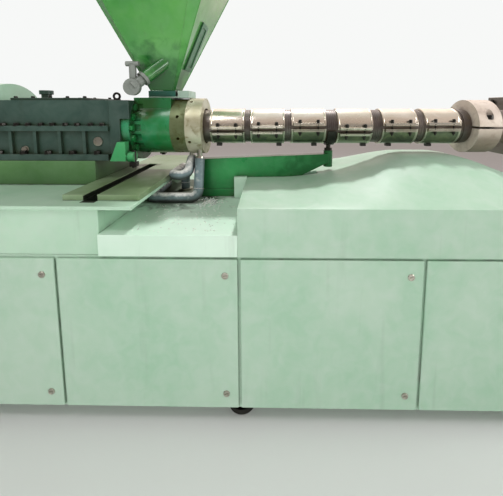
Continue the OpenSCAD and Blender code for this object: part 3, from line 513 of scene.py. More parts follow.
def steel(name, color, dark, rough=0.3, marks=0.35, stretch=ALONG_X, stain_and_shade_share=0.4,
          stain_and_shade_tone="6b5a3c", metal=1.0):
    """Bare steel with tool marks, tinted and dulled by stains and by painted shade in its
    corners.
    """
    r = Recipe(name)
    tool = r.noise(900, 3, stretch=stretch)
    cloud = r.noise(6, 4, warp=0.5)
    patch = r.noise(24, 6, rough=0.65, warp=0.8)
    base = r.mix(r.step(cloud, 0.3, 0.7), linear(color), linear(dark))
    base = r.mix(r.step(tool, 0.35, 0.65, 0, marks * 0.5), base, linear(dark))
    # Stains in patches, and painted shade in corners, both in the stain's colour.
    stain_and_corner_shade = r.reckon("MAXIMUM", r.step(patch, 0.52, 0.70, 0, stain_and_shade_share),
                     r.step(corners(r, 0.03), 0.7, 0.25, 0, stain_and_shade_share + 0.2))
    base = r.mix(stain_and_corner_shade, base, linear(stain_and_shade_tone))
    gloss = r.step(cloud, 0.3, 0.75, rough, rough + 0.12)
    gloss = r.reckon("ADD", gloss, r.reckon("MULTIPLY", stain_and_corner_shade, 0.35))
    shine = r.step(stain_and_corner_shade, 0.0, 1.0, metal, metal * 0.45)
    normal = r.bump(patch, 0.06, 0.001, r.bump(tool, marks, 0.0004))
    return r.done(base, gloss, metal=shine, normal=normal)


barrel_steel = steel("barrel_steel", "8a8480", "635d5a", rough=0.36, stain_and_shade_share=0.5)
screw_steel = steel("screw_steel", "b8b6ae", "9a988f", rough=0.22, stain_and_shade_share=0.2)
ring_steel = steel("spanner_ring_steel", "7f8a66", "56603c", rough=0.38, stain_and_shade_share=0.75,
                   stain_and_shade_tone="4a4a16", metal=0.45)
flange_steel = steel("flange_ring_steel", "d2d2bd", "aaa586", rough=0.34, stain_and_shade_share=0.75,
                     stain_and_shade_tone="6b5f26", metal=0.50)
ring_face_steel = steel("die_ring_steel", "7f7a70", "68635a", rough=0.28, stain_and_shade_share=0.4,
                        stain_and_shade_tone="513f2c")
dark_steel = steel("blackened_steel", "4b4a47", "353431", rough=0.34, stain_and_shade_share=0.4,
                   stain_and_shade_tone="2a2318", stretch=FLOWING, marks=0.15)
die_steel = steel("die_steel", "8d8880", "78736b", rough=0.30, stain_and_shade_share=0.45,
                  stretch=FLOWING, stain_and_shade_tone="594733")
fitting_steel = steel("fitting_steel", "c6c4b8", "aaa89c", rough=0.25, stain_and_shade_share=0.35,
                      stretch=FLOWING, marks=0.15)
gate_steel = steel("gate_steel", "b9d2c2", "97b3a2", rough=0.33, stain_and_shade_share=0.35,
                   stretch=FLOWING, metal=0.4)
print("steels:", len([m for m in bpy.data.materials if "steel" in m.name]))

# %% [markdown]
# The heater bands are bright stainless sheet, which heat has tinted straw.  Their lower
# half is painted mottled dark green, a painted reflection of the green hood below it and
# painted shade, and their corners get painted shade.  The same recipe with less of the
# painted green serves the beads and bars.

# %% Band steel
def jacket_steel(name, painted_below_share):
    """Polished sheet with a straw tint, and a painted green reflection and shade below the axis.
    """
    r = Recipe(name)
    cloud = r.noise(9, 5, warp=0.7)
    brushed = r.noise(260, 3, stretch=(0.05, 1, 1))
    base = r.mix(r.step(cloud, 0.3, 0.72), linear("f4efe2"), linear("ddd5c2"))
    base = r.mix(r.step(brushed, 0.35, 0.7, 0, 0.2), base, linear("cbc2ad"))
    # Painted reflection of the green hood and painted shade: mottled dark green below the axis,
    # with a ragged edge.
    ragged = r.reckon("ADD", height_of(r),
                      r.step(r.noise(22, 5, warp=1.4), 0.25, 0.75, -0.013, 0.013))
    under = r.step(ragged, AXIS_Z + 0.004, AXIS_Z - 0.020, 0, painted_below_share)
    painted_shade_tone = r.mix(r.step(r.noise(14, 5, warp=0.9), 0.38, 0.62), linear("28402a"),
                linear("6f7d58"))
    base = r.mix(under, base, painted_shade_tone)
    specks = r.step(r.noise(70, 6, rough=0.7), 0.60, 0.74, 0, 0.3)
    base = r.mix(specks, base, linear("8a6f48"))
    # Painted shade in the corners, at the slits and beside the bars.
    base = r.mix(r.step(corners(r, 0.02), 0.6, 0.2, 0, 0.7), base, linear("2e281d"))
    rough = r.step(cloud, 0.3, 0.7, 0.19, 0.29)
    rough = r.reckon("ADD", rough, r.reckon("MULTIPLY", under, 0.12))
    normal = r.bump(r.noise(30, 3), 0.10, 0.0010, r.bump(brushed, 0.10, 0.0002))
    return r.done(base, rough, metal=0.92, normal=normal)


band_steel = jacket_steel("band_steel", 0.86)
edge_steel = jacket_steel("band_edge_steel", 0.45)
print("band finishes:", band_steel.name, edge_steel.name)

# %% [markdown]
# ## Iron, zinc and plastic
# Cast iron near the die is bare and has been hot for years.  It is pale grey with brown
# clouds, matt, with a fine pitted skin.  It gets painted shade underneath and in its corners,
# and lighter edges, partly wear and partly a painted highlight.

# %% Hot cast iron
def hot_iron(name, color, dark):
    """Bare cast iron beside a hot die."""
    r = Recipe(name)
    cloud = r.noise(7, 5, warp=0.6)
    base = r.mix(r.step(cloud, 0.3, 0.72), linear(color), linear(dark))
    base = r.mix(r.step(r.noise(30, 6, warp=0.5), 0.5, 0.75, 0, 0.4), base, linear("7d6350"))
    # Painted shade on faces that look down.
    base = r.mix(r.step(facing_up(r), 0.05, -0.45, 0, 0.75), base, linear("5f4f3d"))
    # Lighter edges: wear and a painted highlight.
    base = r.mix(r.step(edges(r, 0.004), 0.1, 1.0, 0, 0.6), base, linear("b7b0a4"))
    # Painted shade in corners.
    base = r.mix(r.step(corners(r, 0.04), 0.75, 0.2, 0, 0.7), base, linear("2b241c"))
    pits = r.bump(r.noise(160, 4, rough=0.7), 0.22, 0.0008)
    normal = r.bump(r.noise(700, 2, stretch=(1, 0.03, 0.03)), 0.12, 0.0003, pits)
    return r.done(base, r.step(cloud, 0.3, 0.7, 0.46, 0.62), metal=0.15, normal=normal)


clamp_iron = hot_iron("clamp_iron", "f0e4d8", "d2c2b2")
adapter_iron = hot_iron("adapter_iron", "9c9089", "7c716b")
print("irons:", clamp_iron.name, adapter_iron.name)

# %% [markdown]
# The cooling pipes have gone dull blue-grey.  Their tops are painted white with a ragged
# border, partly dust from the granules and partly a painted highlight, and their undersides
# and corners get painted shade.  The direction that a face looks in gives the tops and the
# undersides.

# %% Dull zinc
def dull_zinc(name, color, dark):
    """Dull galvanised pipe with white dust and a painted highlight on top, and painted shade
    below.
    """
    r = Recipe(name)
    cloud = r.noise(11, 5, warp=0.4)
    base = r.mix(r.step(cloud, 0.32, 0.7), linear(color), linear(dark))
    base = r.mix(r.step(r.noise(45, 6), 0.55, 0.72, 0, 0.3), base, linear("b9c0ba"))
    # White on top with a ragged border: granule dust and a painted highlight.
    ragged = r.reckon("ADD", facing_up(r), r.step(r.noise(28, 6), 0.25, 0.75, -0.35, 0.35))
    base = r.mix(r.step(ragged, 0.42, 0.95, 0, 0.95), base, linear("fbfaf4"))
    # Painted shade on undersides.
    base = r.mix(r.step(facing_up(r), 0.15, -0.45, 0, 0.8), base, linear("26261f"))
    # Painted shade in corners.
    base = r.mix(r.step(corners(r, 0.05), 0.75, 0.25, 0, 0.7), base, linear("23221d"))
    rough = r.step(cloud, 0.3, 0.7, 0.44, 0.62)
    return r.done(base, rough, metal=0.06, normal=r.bump(r.noise(240, 3), 0.2, 0.0006))


pipe_zinc = dull_zinc("cooling_pipe_zinc", "74868a", "4a5757")
print("zinc:", pipe_zinc.name)

# %% [markdown]
# Two plastics finish the list: the matt black of the terminal boxes, and the milky white of
# the granules, which light enters a little, so they get a touch of subsurface scattering.

# %% Plastics
def plastic(name, color, other, patches, rough, grain):
    """Moulded plastic in two near shades with a faint grain."""
    r = Recipe(name)
    size, detail, low, high = patches
    base = r.mix(r.step(r.noise(size, detail), low, high), linear(color), linear(other))
    return r.done(base, rough, normal=r.bump(r.noise(grain, 2), 0.1, 0.0002))


box_black = plastic("terminal_box_black", "262624", "35342f", (20, 4, 0.3, 0.8), 0.55, 900)
granule_white = plastic("granule_plastic", "fafbf6", "e9ede2", (300, 2, 0.3, 0.7), 0.4, 500)
granule_white.node_tree.nodes["Principled BSDF"].inputs["Subsurface Weight"].default_value = 0.1
print("materials:", len(bpy.data.materials))

# %% [markdown]
# ## The first coat
# Every solid gets its finish here.  Some are swapped for finer pieces further down, which
# take the same finish, so the table below is the machine's paint plan.

# %% Paint plan
paint_plan = {
    "bed_cabinet": mint, "bed_panels": mint, "low_deck": lit_deck_mint, "table_top": table_mint,
    "barrel_hood": mint, "belt_guard": mint, "slotted_plate": plate_grey,
    "levelling_feet": dark_steel, "drive_pedestal": olive_green,
    "gearbox_body": gear_grey, "gearbox_cover": gear_grey, "gearbox_end_plate": gear_grey,
    "lifting_eye": dark_steel, "feed_housing": housing_green,
    "housing_bolts": casting_green, "housing_foot": bracket_green, "foot_bolts": dark_steel,
    "spanner_ring": ring_steel, "flange_ring": flange_steel, "barrel": barrel_steel,
    "screw": screw_steel, "band_bolts": dark_steel, "terminal_boxes": box_black,
    "support_arm": arm_green, "barrel_saddle": dark_steel, "slide_gate": gate_steel,
    "hopper_flange": teal_green, "hopper_body": hopper_green, "hopper_rim": hopper_green,
    "sight_window": window_green, "drain_spout": hopper_green, "drain_valve": valve_paint,
    "cooling_pipes": pipe_zinc, "pipe_fittings": fitting_steel, "clamp_halves": clamp_iron,
    "head_bolts": dark_steel, "die_adapter": adapter_iron, "die_body": die_steel,
    "die_ring": ring_face_steel,
    **{"heater_band_%d" % i: band_steel for i in range(1, 7)},
}

for node, finish in paint_plan.items():
    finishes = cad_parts[node].data.materials
    finishes.clear()
    finishes.append(finish)
print("painted:", len(paint_plan), "of", len(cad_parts))

# %% [markdown]
# ## Three ways to make a piece
# Nearly everything on this machine is turned on a lathe, bent from tube, or cast and then
# machined.  So three small tools make nearly all pieces: `turned` sweeps a profile round
# the barrel's axis, `tube` sweeps a circle along a line of points, and `eased` takes a
# solid and rounds its sharp edges, because a real edge is never sharp and its thin line
# of light is what makes a casting look heavy.  Whatever the tool, `piece` turns the result
# into an object, lets it ride on the machine, and hides the solid it stands for.

# %% A piece of the machine
made = []


def piece(name, bm, finish, stands_for=(), crease=32, even=True):
    """Turn a finished bmesh into an object that rides on the machine."""
    bmesh.ops.recalc_face_normals(bm, faces=bm.faces)
    mesh = bpy.data.meshes.new(name)
    bm.to_mesh(mesh)
    bm.free()
    mesh.materials.append(finish)
    for face in mesh.polygons:
        face.use_smooth = True
    mesh.set_sharp_from_angle(angle=math.radians(crease))
    obj = bpy.data.objects.new(name, mesh)
    scene.collection.objects.link(obj)
    if even:
        shading = obj.modifiers.new("even_shading", "WEIGHTED_NORMAL")
        shading.keep_sharp = True
    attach(obj, "root")
    for node in stands_for:
        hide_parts(node)
    made.append(obj)
    return obj


# %% Turning
def skin(bm, low, high):
    """Close the strip between two rings of points."""
    count = len(low)
    for k in range(count):
        bm.faces.new((low[k], low[(k + 1) % count], high[(k + 1) % count], high[k]))


def turned(profile, steps, start=0.0, sweep=360.0):
    """A closed profile of (along, radius) swept round the axis, from the front upwards."""
    bm = bmesh.new()
    whole = sweep >= 360.0
    count = steps if whole else steps + 1
    rings = []
    for along, radius in profile:
        ring = []
        for i in range(count):
            a = math.radians(start + sweep * i / steps)
            ring.append(bm.verts.new(on_axis(along, -radius * math.cos(a),
                                             radius * math.sin(a))))
        rings.append(ring)
    for low, high in zip(rings, rings[1:] + rings[:1]):
        for i in range(count if whole else count - 1):
            j = (i + 1) % count
            bm.faces.new((low[i], low[j], high[j], high[i]))
    if not whole:
        bm.faces.new([ring[0] for ring in rings])
        bm.faces.new([ring[-1] for ring in reversed(rings)])
    return bm


print("lathe ready")

# %% Bending tube
def bends(route, radius, steps):
    """A line of corner points whose corners are rounded to one radius."""
    points = [route[0]]
    for before, here, after in zip(route, route[1:], route[2:]):
        u = (here - before).normalized()
        v = (after - here).normalized()
        back = radius * math.tan(u.angle(v) / 2)
        start, end = here - u * back, here + v * back
        centre = start + (v - u * u.dot(v)).normalized() * radius
        for i in range(steps + 1):
            arm = (start - centre).lerp(end - centre, i / steps).normalized() * radius
            points.append(centre + arm)
    points.append(route[-1])
    return points


def tube(points, radius, steps, bm, wobble=0.0, seed=1):
    """Add a round bar along a line of points; wobble makes it as uneven as a weld."""
    chance = random.Random(seed)
    rings = []
    side = None
    for i, here in enumerate(points):
        ahead = points[min(i + 1, len(points) - 1)] - points[max(i - 1, 0)]
        ahead.normalize()
        if side is None:
            side = ahead.orthogonal().normalized()
        side = (side - ahead * side.dot(ahead)).normalized()
        up = ahead.cross(side)
        r = radius * (1 + wobble * chance.uniform(-1, 1))
        turns = [2 * math.pi * k / steps for k in range(steps)]
        rings.append([bm.verts.new(here + (side * math.cos(a) + up * math.sin(a)) * r)
                      for a in turns])
    for low, high in zip(rings, rings[1:]):
        skin(bm, low, high)
    bm.faces.new(list(reversed(rings[0])))
    bm.faces.new(rings[-1])


print("tube bender ready")

# %% Easing a solid's edges
def solid_copy(node):
    """A clean bmesh of a solid, with its flat faces whole again."""
    bm = bmesh.new()
    bm.from_mesh(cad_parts[node].data)
    bmesh.ops.remove_doubles(bm, verts=bm.verts, dist=2e-5)
    bmesh.ops.dissolve_limit(bm, angle_limit=math.radians(0.6), verts=bm.verts,
                             edges=bm.edges)
    return bm


def ease(bm, radius, steps=2, angle=28):
    """Round every edge that is sharper than the angle."""
    sharp = [e for e in bm.edges
             if len(e.link_faces) == 2 and e.calc_face_angle(0) > math.radians(angle)]
    bmesh.ops.bevel(bm, geom=sharp, offset=radius, offset_type="OFFSET", segments=steps,
                    profile=0.5, affect="EDGES", clamp_overlap=True)
    return bm


def eased(node, radius, finish, steps=2, angle=28):
    """A solid's fine twin with rounded edges."""
    return piece("fine_" + node, ease(solid_copy(node), radius, steps, angle), finish, (node,))


print("easing ready")

# %% [markdown]
# Small hardware repeats all over the machine.  Each kind could be modelled once and linked,
# but a row of screws is handled, exported and painted more easily as one mesh.  So these
# makers add their part to a bmesh that is passed in, at a place and a direction.

# %% Blocks and spindles
def join(bm, part, frame_at):
    """Add one bmesh to another, moved into a frame."""
    part.transform(frame_at)
    mesh = bpy.data.meshes.new("joining")
    part.to_mesh(mesh)
    part.free()
    bm.from_mesh(mesh)
    bpy.data.meshes.remove(mesh)


def block(low, high, radius, frame_at, bm):
    """Add a bevelled block between two corners of a frame."""
    part = bmesh.new()
    bmesh.ops.create_cube(part, size=1.0)
    low, high = Vector(low), Vector(high)
    for v in part.verts:
        v.co = Vector([low[k] + (v.co[k] + 0.5) * (high[k] - low[k]) for k in range(3)])
    bmesh.ops.bevel(part, geom=part.edges[:], offset=radius, segments=2, profile=0.5,
                    affect="EDGES", clamp_overlap=True)
    join(bm, part, frame_at)


def spindle(outline, steps, frame_at, bm):
    """Add points (height, radius) swept round +Z of a frame, closed at both ends."""
    part = bmesh.new()
    turns = [2 * math.pi * k / steps for k in range(steps)]
    rings = [[part.verts.new((r * math.cos(a), r * math.sin(a), h)) for a in turns]
             for h, r in outline]
    for low, high in zip(rings, rings[1:]):
        skin(part, low, high)
    part.faces.new(list(reversed(rings[0])))
    part.faces.new(rings[-1])
    join(bm, part, frame_at)


print("blocks and spindles ready")

# %% Bolts and screws
def hex_bolt(flats, height, frame_at, bm):
    """Add a hexagon head with a turned crown, on a thin washer."""
    r = flats / 2 / math.cos(math.pi / 6)
    washer = [(0, r * 1.12), (0.0018, r * 1.12), (0.0022, r * 1.07)]
    head = [(0.0015, r), (height * 0.82, r), (height * 0.93, r * 0.94), (height, r * 0.84)]
    crown = [(height * 0.8, r * 0.80), (height * 1.015, r * 0.80), (height * 1.02, r * 0.76)]
    for outline, steps in ((washer, 32), (head, 6), (crown, 24)):
        spindle(outline, steps, frame_at, bm)


def cap_screw(head_r, height, frame_at, bm):
    """Add a round head with a recess in its top."""
    spindle([(0, head_r), (height * 0.86, head_r), (height * 0.96, head_r * 0.94),
             (height, head_r * 0.86), (height, head_r * 0.55),
             (height * 0.55, head_r * 0.50)], 24, frame_at, bm)


def facing(place, direction, spin=0.0):
    """A frame at a place whose +Z points along a direction."""
    turn = Vector((0, 0, 1)).rotation_difference(Vector(direction)).to_matrix().to_4x4()
    return Matrix.Translation(place) @ turn @ Matrix.Rotation(spin, 4, "Z")


print("bolts ready")

# %% [markdown]
# ## Barrel
# The barrel was turned on a lathe, so its bare stretches between the bands carry grooves
# about a millimetre deep.  A bump could fake them, but the barrel's outline shows them too,
# so they are cut into the profile that is swept round the axis.

# %% Barrel
BARREL_LEN = 1.320
BARREL_BACK = -0.144
BORE_R = 0.045
END_R, END_T = 0.092, 0.024
BAND_W = 0.165
BAND_STARTS = [share * BARREL_LEN for share in (0.0242, 0.1705, 0.319, 0.4856, 0.6455, 0.7977)]
CLAMP_W = 0.105
CLAMP_X = BARREL_LEN + 0.0035 - CLAMP_W / 2
COLLAR_W = 0.022
COLLAR_X = (BAND_STARTS[5] + BAND_W + CLAMP_X - COLLAR_W) / 2
GROOVE_STEP, GROOVE_DEPTH = 0.009, 0.0013


def grooves(start, end):
    """Profile points of the grooves between two bands."""
    count = max(2, int((end - start) / GROOVE_STEP))
    points = []
    for i in range(count):
        s = start + (end - start) * (i + 0.5) / count
        points += [(s - 0.0022, BARREL_R), (s - 0.0012, BARREL_R - GROOVE_DEPTH),
                   (s + 0.0012, BARREL_R - GROOVE_DEPTH), (s + 0.0022, BARREL_R)]
    return points


def collar(s):
    """Profile points of the ridged collar before the clamp."""
    ridge = BARREL_R + 0.004
    return [(s, BARREL_R), (s, ridge - 0.001), (s + 0.001, ridge), (s + 0.0095, ridge),
            (s + 0.0105, ridge - 0.0012), (s + 0.0115, ridge), (s + 0.021, ridge),
            (s + COLLAR_W, ridge - 0.001), (s + COLLAR_W, BARREL_R)]


outline = [(BARREL_BACK, BARREL_R), (0.012, BARREL_R)]
for start, after in zip(BAND_STARTS, BAND_STARTS[1:]):
    outline += grooves(start + BAND_W, after)
outline += collar(COLLAR_X)
outline += [(BARREL_LEN - END_T, BARREL_R), (BARREL_LEN - END_T, END_R), (BARREL_LEN, END_R),
            (BARREL_LEN, BORE_R), (BARREL_BACK, BORE_R)]
barrel = piece("turned_barrel", turned(outline, 128), barrel_steel, ("barrel",))
print("barrel faces:", len(barrel.data.polygons))

# %% [markdown]
# ## Heater bands
# Each band is a polished steel jacket bent round the barrel, open in front.  Its two long
# edges are folded into bars, and two screws pull the bars together.  Its ends are rolled to
# a bead.  Heat has buckled the sheet a little, which is what makes the reflections wander.
# A bump would bend the light as well, but only a moved mesh bends the outline with it.

# %% Jacket profile and buckles
BAND_R = 0.086
BEAD_W = 0.0088
SLIT_ANGLES = [11.5, 8.0, 1.0, 14.0, 1.0, -1.0]
BUCKLE_FROM = 0.012


def jacket_outline(start):
    """A jacket's profile from its left bead to its right one."""
    r = BAND_R
    bead = [(0.0, -0.0055), (0.0, -0.0005), (0.0008, 0.0010), (0.0030, 0.0015),
            (0.0062, 0.0013), (0.0078, 0.0003), (0.0092, -0.0009), (0.0110, -0.0006),
            (0.0130, -0.0002)]
    left = [(start + s, r + rise) for s, rise in bead]
    middle = [(start + 0.013 + (BAND_W - 0.026) * i / 12, r - 0.0002) for i in range(1, 12)]
    right = [(start + BAND_W - s, r + rise) for s, rise in reversed(bead)]
    return left + middle + right


def buckle(bm, index, start):
    """Push the jacket in and out by fractions of a millimetre, as heat does."""
    chance = random.Random(40 + index)
    waves = [(chance.uniform(20, 60), chance.uniform(1, 5), chance.uniform(0, 6.3),
              chance.uniform(0.0001, 0.00022)) for _ in range(7)]
    for v in bm.verts:
        y, z = v.co.y, v.co.z - AXIS_Z
        r = math.hypot(y, z)
        s = v.co.x - SHOULDER_X - start
        if r < BAND_R - 0.004 or s < BUCKLE_FROM or s > BAND_W - BUCKLE_FROM:
            continue
        a = math.atan2(z, -y)
        push = sum(h * math.sin(k * s + n * a + p) for k, n, p, h in waves)
        fade = min(1.0, (s - BUCKLE_FROM) / 0.02, (BAND_W - BUCKLE_FROM - s) / 0.02)
        v.co.y += y / r * push * fade
        v.co.z += z / r * push * fade


print("bands at", [round(start, 3) for start in BAND_STARTS])

# %% Band jackets
SLIT_HALF = 0.0075
BAR_T = 0.015
BAR_START, BAR_END = 0.010, 0.155


def clamp_bar(side, frame_at, bm):
    """Add a folded edge with its lip; side is 1 above the slit and -1 below it."""
    low = SLIT_HALF if side > 0 else -SLIT_HALF - BAR_T
    block((BAR_START, -BAND_R - 0.0085, low), (BAR_END, -BAND_R + 0.004, low + BAR_T), 0.0028,
          frame_at, bm)
    lip_low, lip_high = sorted((side * SLIT_HALF, side * SLIT_HALF * 1.34))
    block((BAR_START, -BAND_R - 0.0112, lip_low), (BAR_END, -BAND_R - 0.0082, lip_high), 0.0009,
          frame_at, bm)


half_slit = math.degrees(math.asin(SLIT_HALF / BAND_R))
for i, start in enumerate(BAND_STARTS):
    bm = turned(jacket_outline(start), 144, half_slit - SLIT_ANGLES[i], 360 - 2 * half_slit)
    buckle(bm, i, start)
    frame_at = Matrix.Translation(on_axis(start)) @ Matrix.Rotation(
        math.radians(SLIT_ANGLES[i]), 4, "X")
    for side in (1, -1):
        clamp_bar(side, frame_at, bm)
    jacket = piece("jacket_%d" % (i + 1), bm, band_steel, ("heater_band_%d" % (i + 1),))
    jacket.data.materials.append(edge_steel)
    for face in jacket.data.polygons:
        s = face.center.x - SHOULDER_X - start
        out = math.hypot(face.center.y, face.center.z - AXIS_Z)
        if s < BEAD_W or s > BAND_W - BEAD_W or out > BAND_R + 0.0018:
            face.material_index = 1
print("jackets:", len(BAND_STARTS))

# %% [markdown]
# Each screw goes down through both bars: a round head with a washer on top, a thread that
# shows in the slit, and a nut below with the thread's end.

# %% Band screws
SCREW_APART = 0.0425
BAR_REACH = SLIT_HALF + BAR_T
THREAD = []
for k in range(27):
    THREAD += [(-0.0125 + k * 0.001, 0.0036), (-0.012 + k * 0.001, 0.0031)]


def band_screw(middle, bm):
    """Add one screw, its thread and its nut, through the middle of a slit."""
    top = middle @ Matrix.Translation((0, 0, BAR_REACH))
    spindle([(0, 0.0088), (0.0016, 0.0088), (0.002, 0.0082)], 24, top, bm)
    cap_screw(0.0075, 0.013, top @ Matrix.Translation((0, 0, 0.0016)), bm)
    spindle(THREAD, 16, middle, bm)
    below = middle @ Matrix.Translation((0, 0, -BAR_REACH)) @ Matrix.Rotation(math.pi, 4, "X")
    hex_bolt(0.013, 0.0105, below, bm)
    spindle([(0.010, 0.0036), (0.0165, 0.0036), (0.017, 0.003)], 16, below, bm)


bm = bmesh.new()
for start, angle in zip(BAND_STARTS, SLIT_ANGLES):
    base = Matrix.Translation(on_axis(start + BAND_W / 2)) @ Matrix.Rotation(
        math.radians(angle), 4, "X")
    for side in (-1, 1):
        spot = Vector((side * SCREW_APART, -BAND_R - 0.006, 0))
        band_screw(base @ Matrix.Translation(spot), bm)
piece("band_screws", bm, dark_steel, ("band_bolts",))
print("screw faces:", len(made[-1].data.polygons))

# %% [markdown]
# The two rings at the shoulder are heavy turned steel.  The first carries holes for a hook
# spanner, the second a deep recess round the barrel.  Their solids have both, so they only
# need eased edges, and so do the saddle and the terminal boxes.

# %% Rings, saddle and terminal boxes
eased("spanner_ring", 0.0016, ring_steel)
eased("flange_ring", 0.0030, flange_steel, 3)
eased("barrel_saddle", 0.0015, dark_steel)
eased("terminal_boxes", 0.0012, box_black)
print("pieces so far:", len(made))

# %% [markdown]
# ## Castings
# The feed housing, the bracket, the gearbox and the support arm are castings or heavy
# plate under thick enamel.  Enamel rounds an edge even more than the mould does.  A bevel
# in the shading alone would be cheaper, but it leaves every outline sharp.  So the edges
# themselves are eased, and the housing's inner corners turn into small fillets.

# %% Housing, bracket and arm
eased("feed_housing", 0.0045, housing_green, 3)
eased("housing_bolts", 0.0012, casting_green)
eased("housing_foot", 0.0030, bracket_green)
eased("foot_bolts", 0.0015, dark_steel)
eased("support_arm", 0.0022, arm_green)
eased("drive_pedestal", 0.0040, olive_green)
print("castings eased:", len(made))

# %% [markdown]
# A gearbox case is cast in two halves, bolted together along the flange at the height of
# its shafts.  Its ribs part that flange into five fields with two hexagon screws each.
# Larger screws hold the foot, and smaller ones the lid.  One screw could be copied by an
# array, but then all heads would stand alike.  In a real row each head has stopped at its
# own angle, so a loop places them and turns each one a little.

# %% Gearbox
GEAR_LEN = 0.555
FIELDS = 5
FIELD_LEN = GEAR_LEN / FIELDS
PAIR_HALF = 0.026
FLANGE_Y, FLANGE_TOP = 0.180, AXIS_Z + 0.012
FOOT_Y, FOOT_TOP = 0.183, AXIS_Z - 0.115
LID_SCREWS, LID_TOP = 5, AXIS_Z + 0.137
LID_RIM_X, LID_RIM_Y = 0.015, 0.014
UP = (0, 0, 1)

eased("gearbox_body", 0.0045, gear_grey, 3)
eased("gearbox_cover", 0.0020, gear_grey)
eased("gearbox_end_plate", 0.0025, gear_grey)
eased("lifting_eye", 0.0008, dark_steel)

gear_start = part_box("gearbox_body")[1][0] - GEAR_LEN
lid_low, lid_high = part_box("gearbox_cover")
lid_run = lid_high[0] - lid_low[0] - 2 * LID_RIM_X
bm = bmesh.new()
for side in (-1, 1):
    for i in range(FIELDS):
        x = gear_start + FIELD_LEN * (i + 0.5)
        for shift in (-PAIR_HALF, PAIR_HALF):
            spot = Vector((x + shift, side * FLANGE_Y, FLANGE_TOP))
            hex_bolt(0.019, 0.012, facing(spot, UP, 0.3 * i), bm)
        hex_bolt(0.024, 0.015, facing(Vector((x, side * FOOT_Y, FOOT_TOP)), UP, 0.5 * i), bm)
for i in range(LID_SCREWS):
    x = lid_low[0] + LID_RIM_X + lid_run * i / (LID_SCREWS - 1)
    for y in (lid_low[1] + LID_RIM_Y, lid_high[1] - LID_RIM_Y):
        hex_bolt(0.013, 0.008, facing(Vector((x, y, LID_TOP)), UP, x * 9), bm)
piece("gearbox_screws", bm, dark_steel)
print("gearbox screws:", len(made[-1].data.polygons))

# %% [markdown]
# On the front of the case a sight glass shows the oil's level, and a plug lets the oil out.
# A glass is hard to tell from a dark disc at this size, so both are plain metal shapes: a
# spindle with a sunk middle and a bolt head.  The guard at the gearbox's end is folded
# sheet with wide soft edges.

# %% Oil sight glass, drain plug and guard
CASE_FRONT = -0.170
GLASS_Z, PLUG_Z = AXIS_Z - 0.060, AXIS_Z - 0.095
FORWARD = (0, -1, 0)

glass_at = facing(Vector((gear_start + FIELD_LEN * 4.5, CASE_FRONT, GLASS_Z)), FORWARD)
plug_at = facing(Vector((gear_start + FIELD_LEN * 1.5, CASE_FRONT, PLUG_Z)), FORWARD)
bm = bmesh.new()
spindle([(0, 0.020), (0.005, 0.020), (0.006, 0.018), (0.006, 0.0125), (0.0035, 0.012)], 40,
        glass_at, bm)
hex_bolt(0.022, 0.012, plug_at, bm)
piece("sight_glass_and_plug", bm, fitting_steel)
eased("belt_guard", 0.0060, mint, 3)
print("guard and glass done")

# %% [markdown]
# ## Hopper
# The hopper is a steep pyramid of sheet that lets the granules slide down by their own
# weight.  It is folded and then welded along its corners.  A weld is a row of small
# overlapping ripples.  They could be painted on with a bump, but a seam stands proud of
# the sheet, and a thin tube whose thickness jumps from point to point shows that for little.

# %% Sheet body
CHEST_H = 0.255
NECK_MARGIN = 0.007

eased("hopper_body", 0.0016, hopper_green)
eased("hopper_rim", 0.0025, hopper_green)
eased("hopper_flange", 0.0022, teal_green)
eased("slide_gate", 0.0012, gate_steel)
eased("sight_window", 0.0012, window_green)
eased("drain_spout", 0.0006, hopper_green)
eased("drain_valve", 0.0022, valve_paint, 2, 40)

body_low, body_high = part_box("hopper_body")
flange_low, flange_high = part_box("hopper_flange")
throat_x = (flange_low[0] + flange_high[0]) / 2
neck_w = flange_high[0] - flange_low[0] - 2 * NECK_MARGIN
chest_w = body_high[0] - body_low[0]
chest_z = body_high[2] - CHEST_H
print("hopper's middle at x", round(throat_x, 4), "chest from z", round(chest_z, 3))

# %% Weld seams
RIPPLE = 0.004
SEAM_R, NECK_SEAM_R = 0.0021, 0.0026
NECK_CUT, CHEST_CUT = 0.008, 0.055
NECK_LIFT = Vector((0, 0, 0.0006))


def cut_square(width, cut, z):
    """The eight corners of a square whose corners are cut off."""
    h = width / 2
    flat = [(-h + cut, -h), (h - cut, -h), (h, -h + cut), (h, h - cut),
            (h - cut, h), (-h + cut, h), (-h, h - cut), (-h, -h + cut)]
    return [Vector((throat_x + x, y, z)) for x, y in flat]


def weld_line(a, b, radius, bm, seed):
    """Add a rippled bead from a to b."""
    count = max(2, int((b - a).length / RIPPLE))
    tube([a.lerp(b, i / count) for i in range(count + 1)], radius, 8, bm, 0.22, seed)


low_ring = cut_square(neck_w, NECK_CUT, flange_high[2])
mid_ring = cut_square(chest_w, CHEST_CUT, chest_z)
bm = bmesh.new()
for k in range(8):
    after = (k + 1) % 8
    weld_line(low_ring[k], mid_ring[k], SEAM_R, bm, k)
    weld_line(mid_ring[k], mid_ring[after], SEAM_R, bm, 20 + k)
    weld_line(low_ring[k] + NECK_LIFT, low_ring[after], NECK_SEAM_R, bm, 40 + k)
piece("hopper_welds", bm, hopper_green)
print("weld faces:", len(made[-1].data.polygons))

# %% [markdown]
# ## Cooling pipes
# Two thick pipes lead cooling water to the shoulder.  They are bent on a pipe bender, so
# each bend is a clean arc, and they end in nuts under the flange ring.  A curve object with
# a round bevel would do, but its handles only come near to an arc.  So the same route as
# in the solids is swept again with more steps, with a swollen weld at the joints.

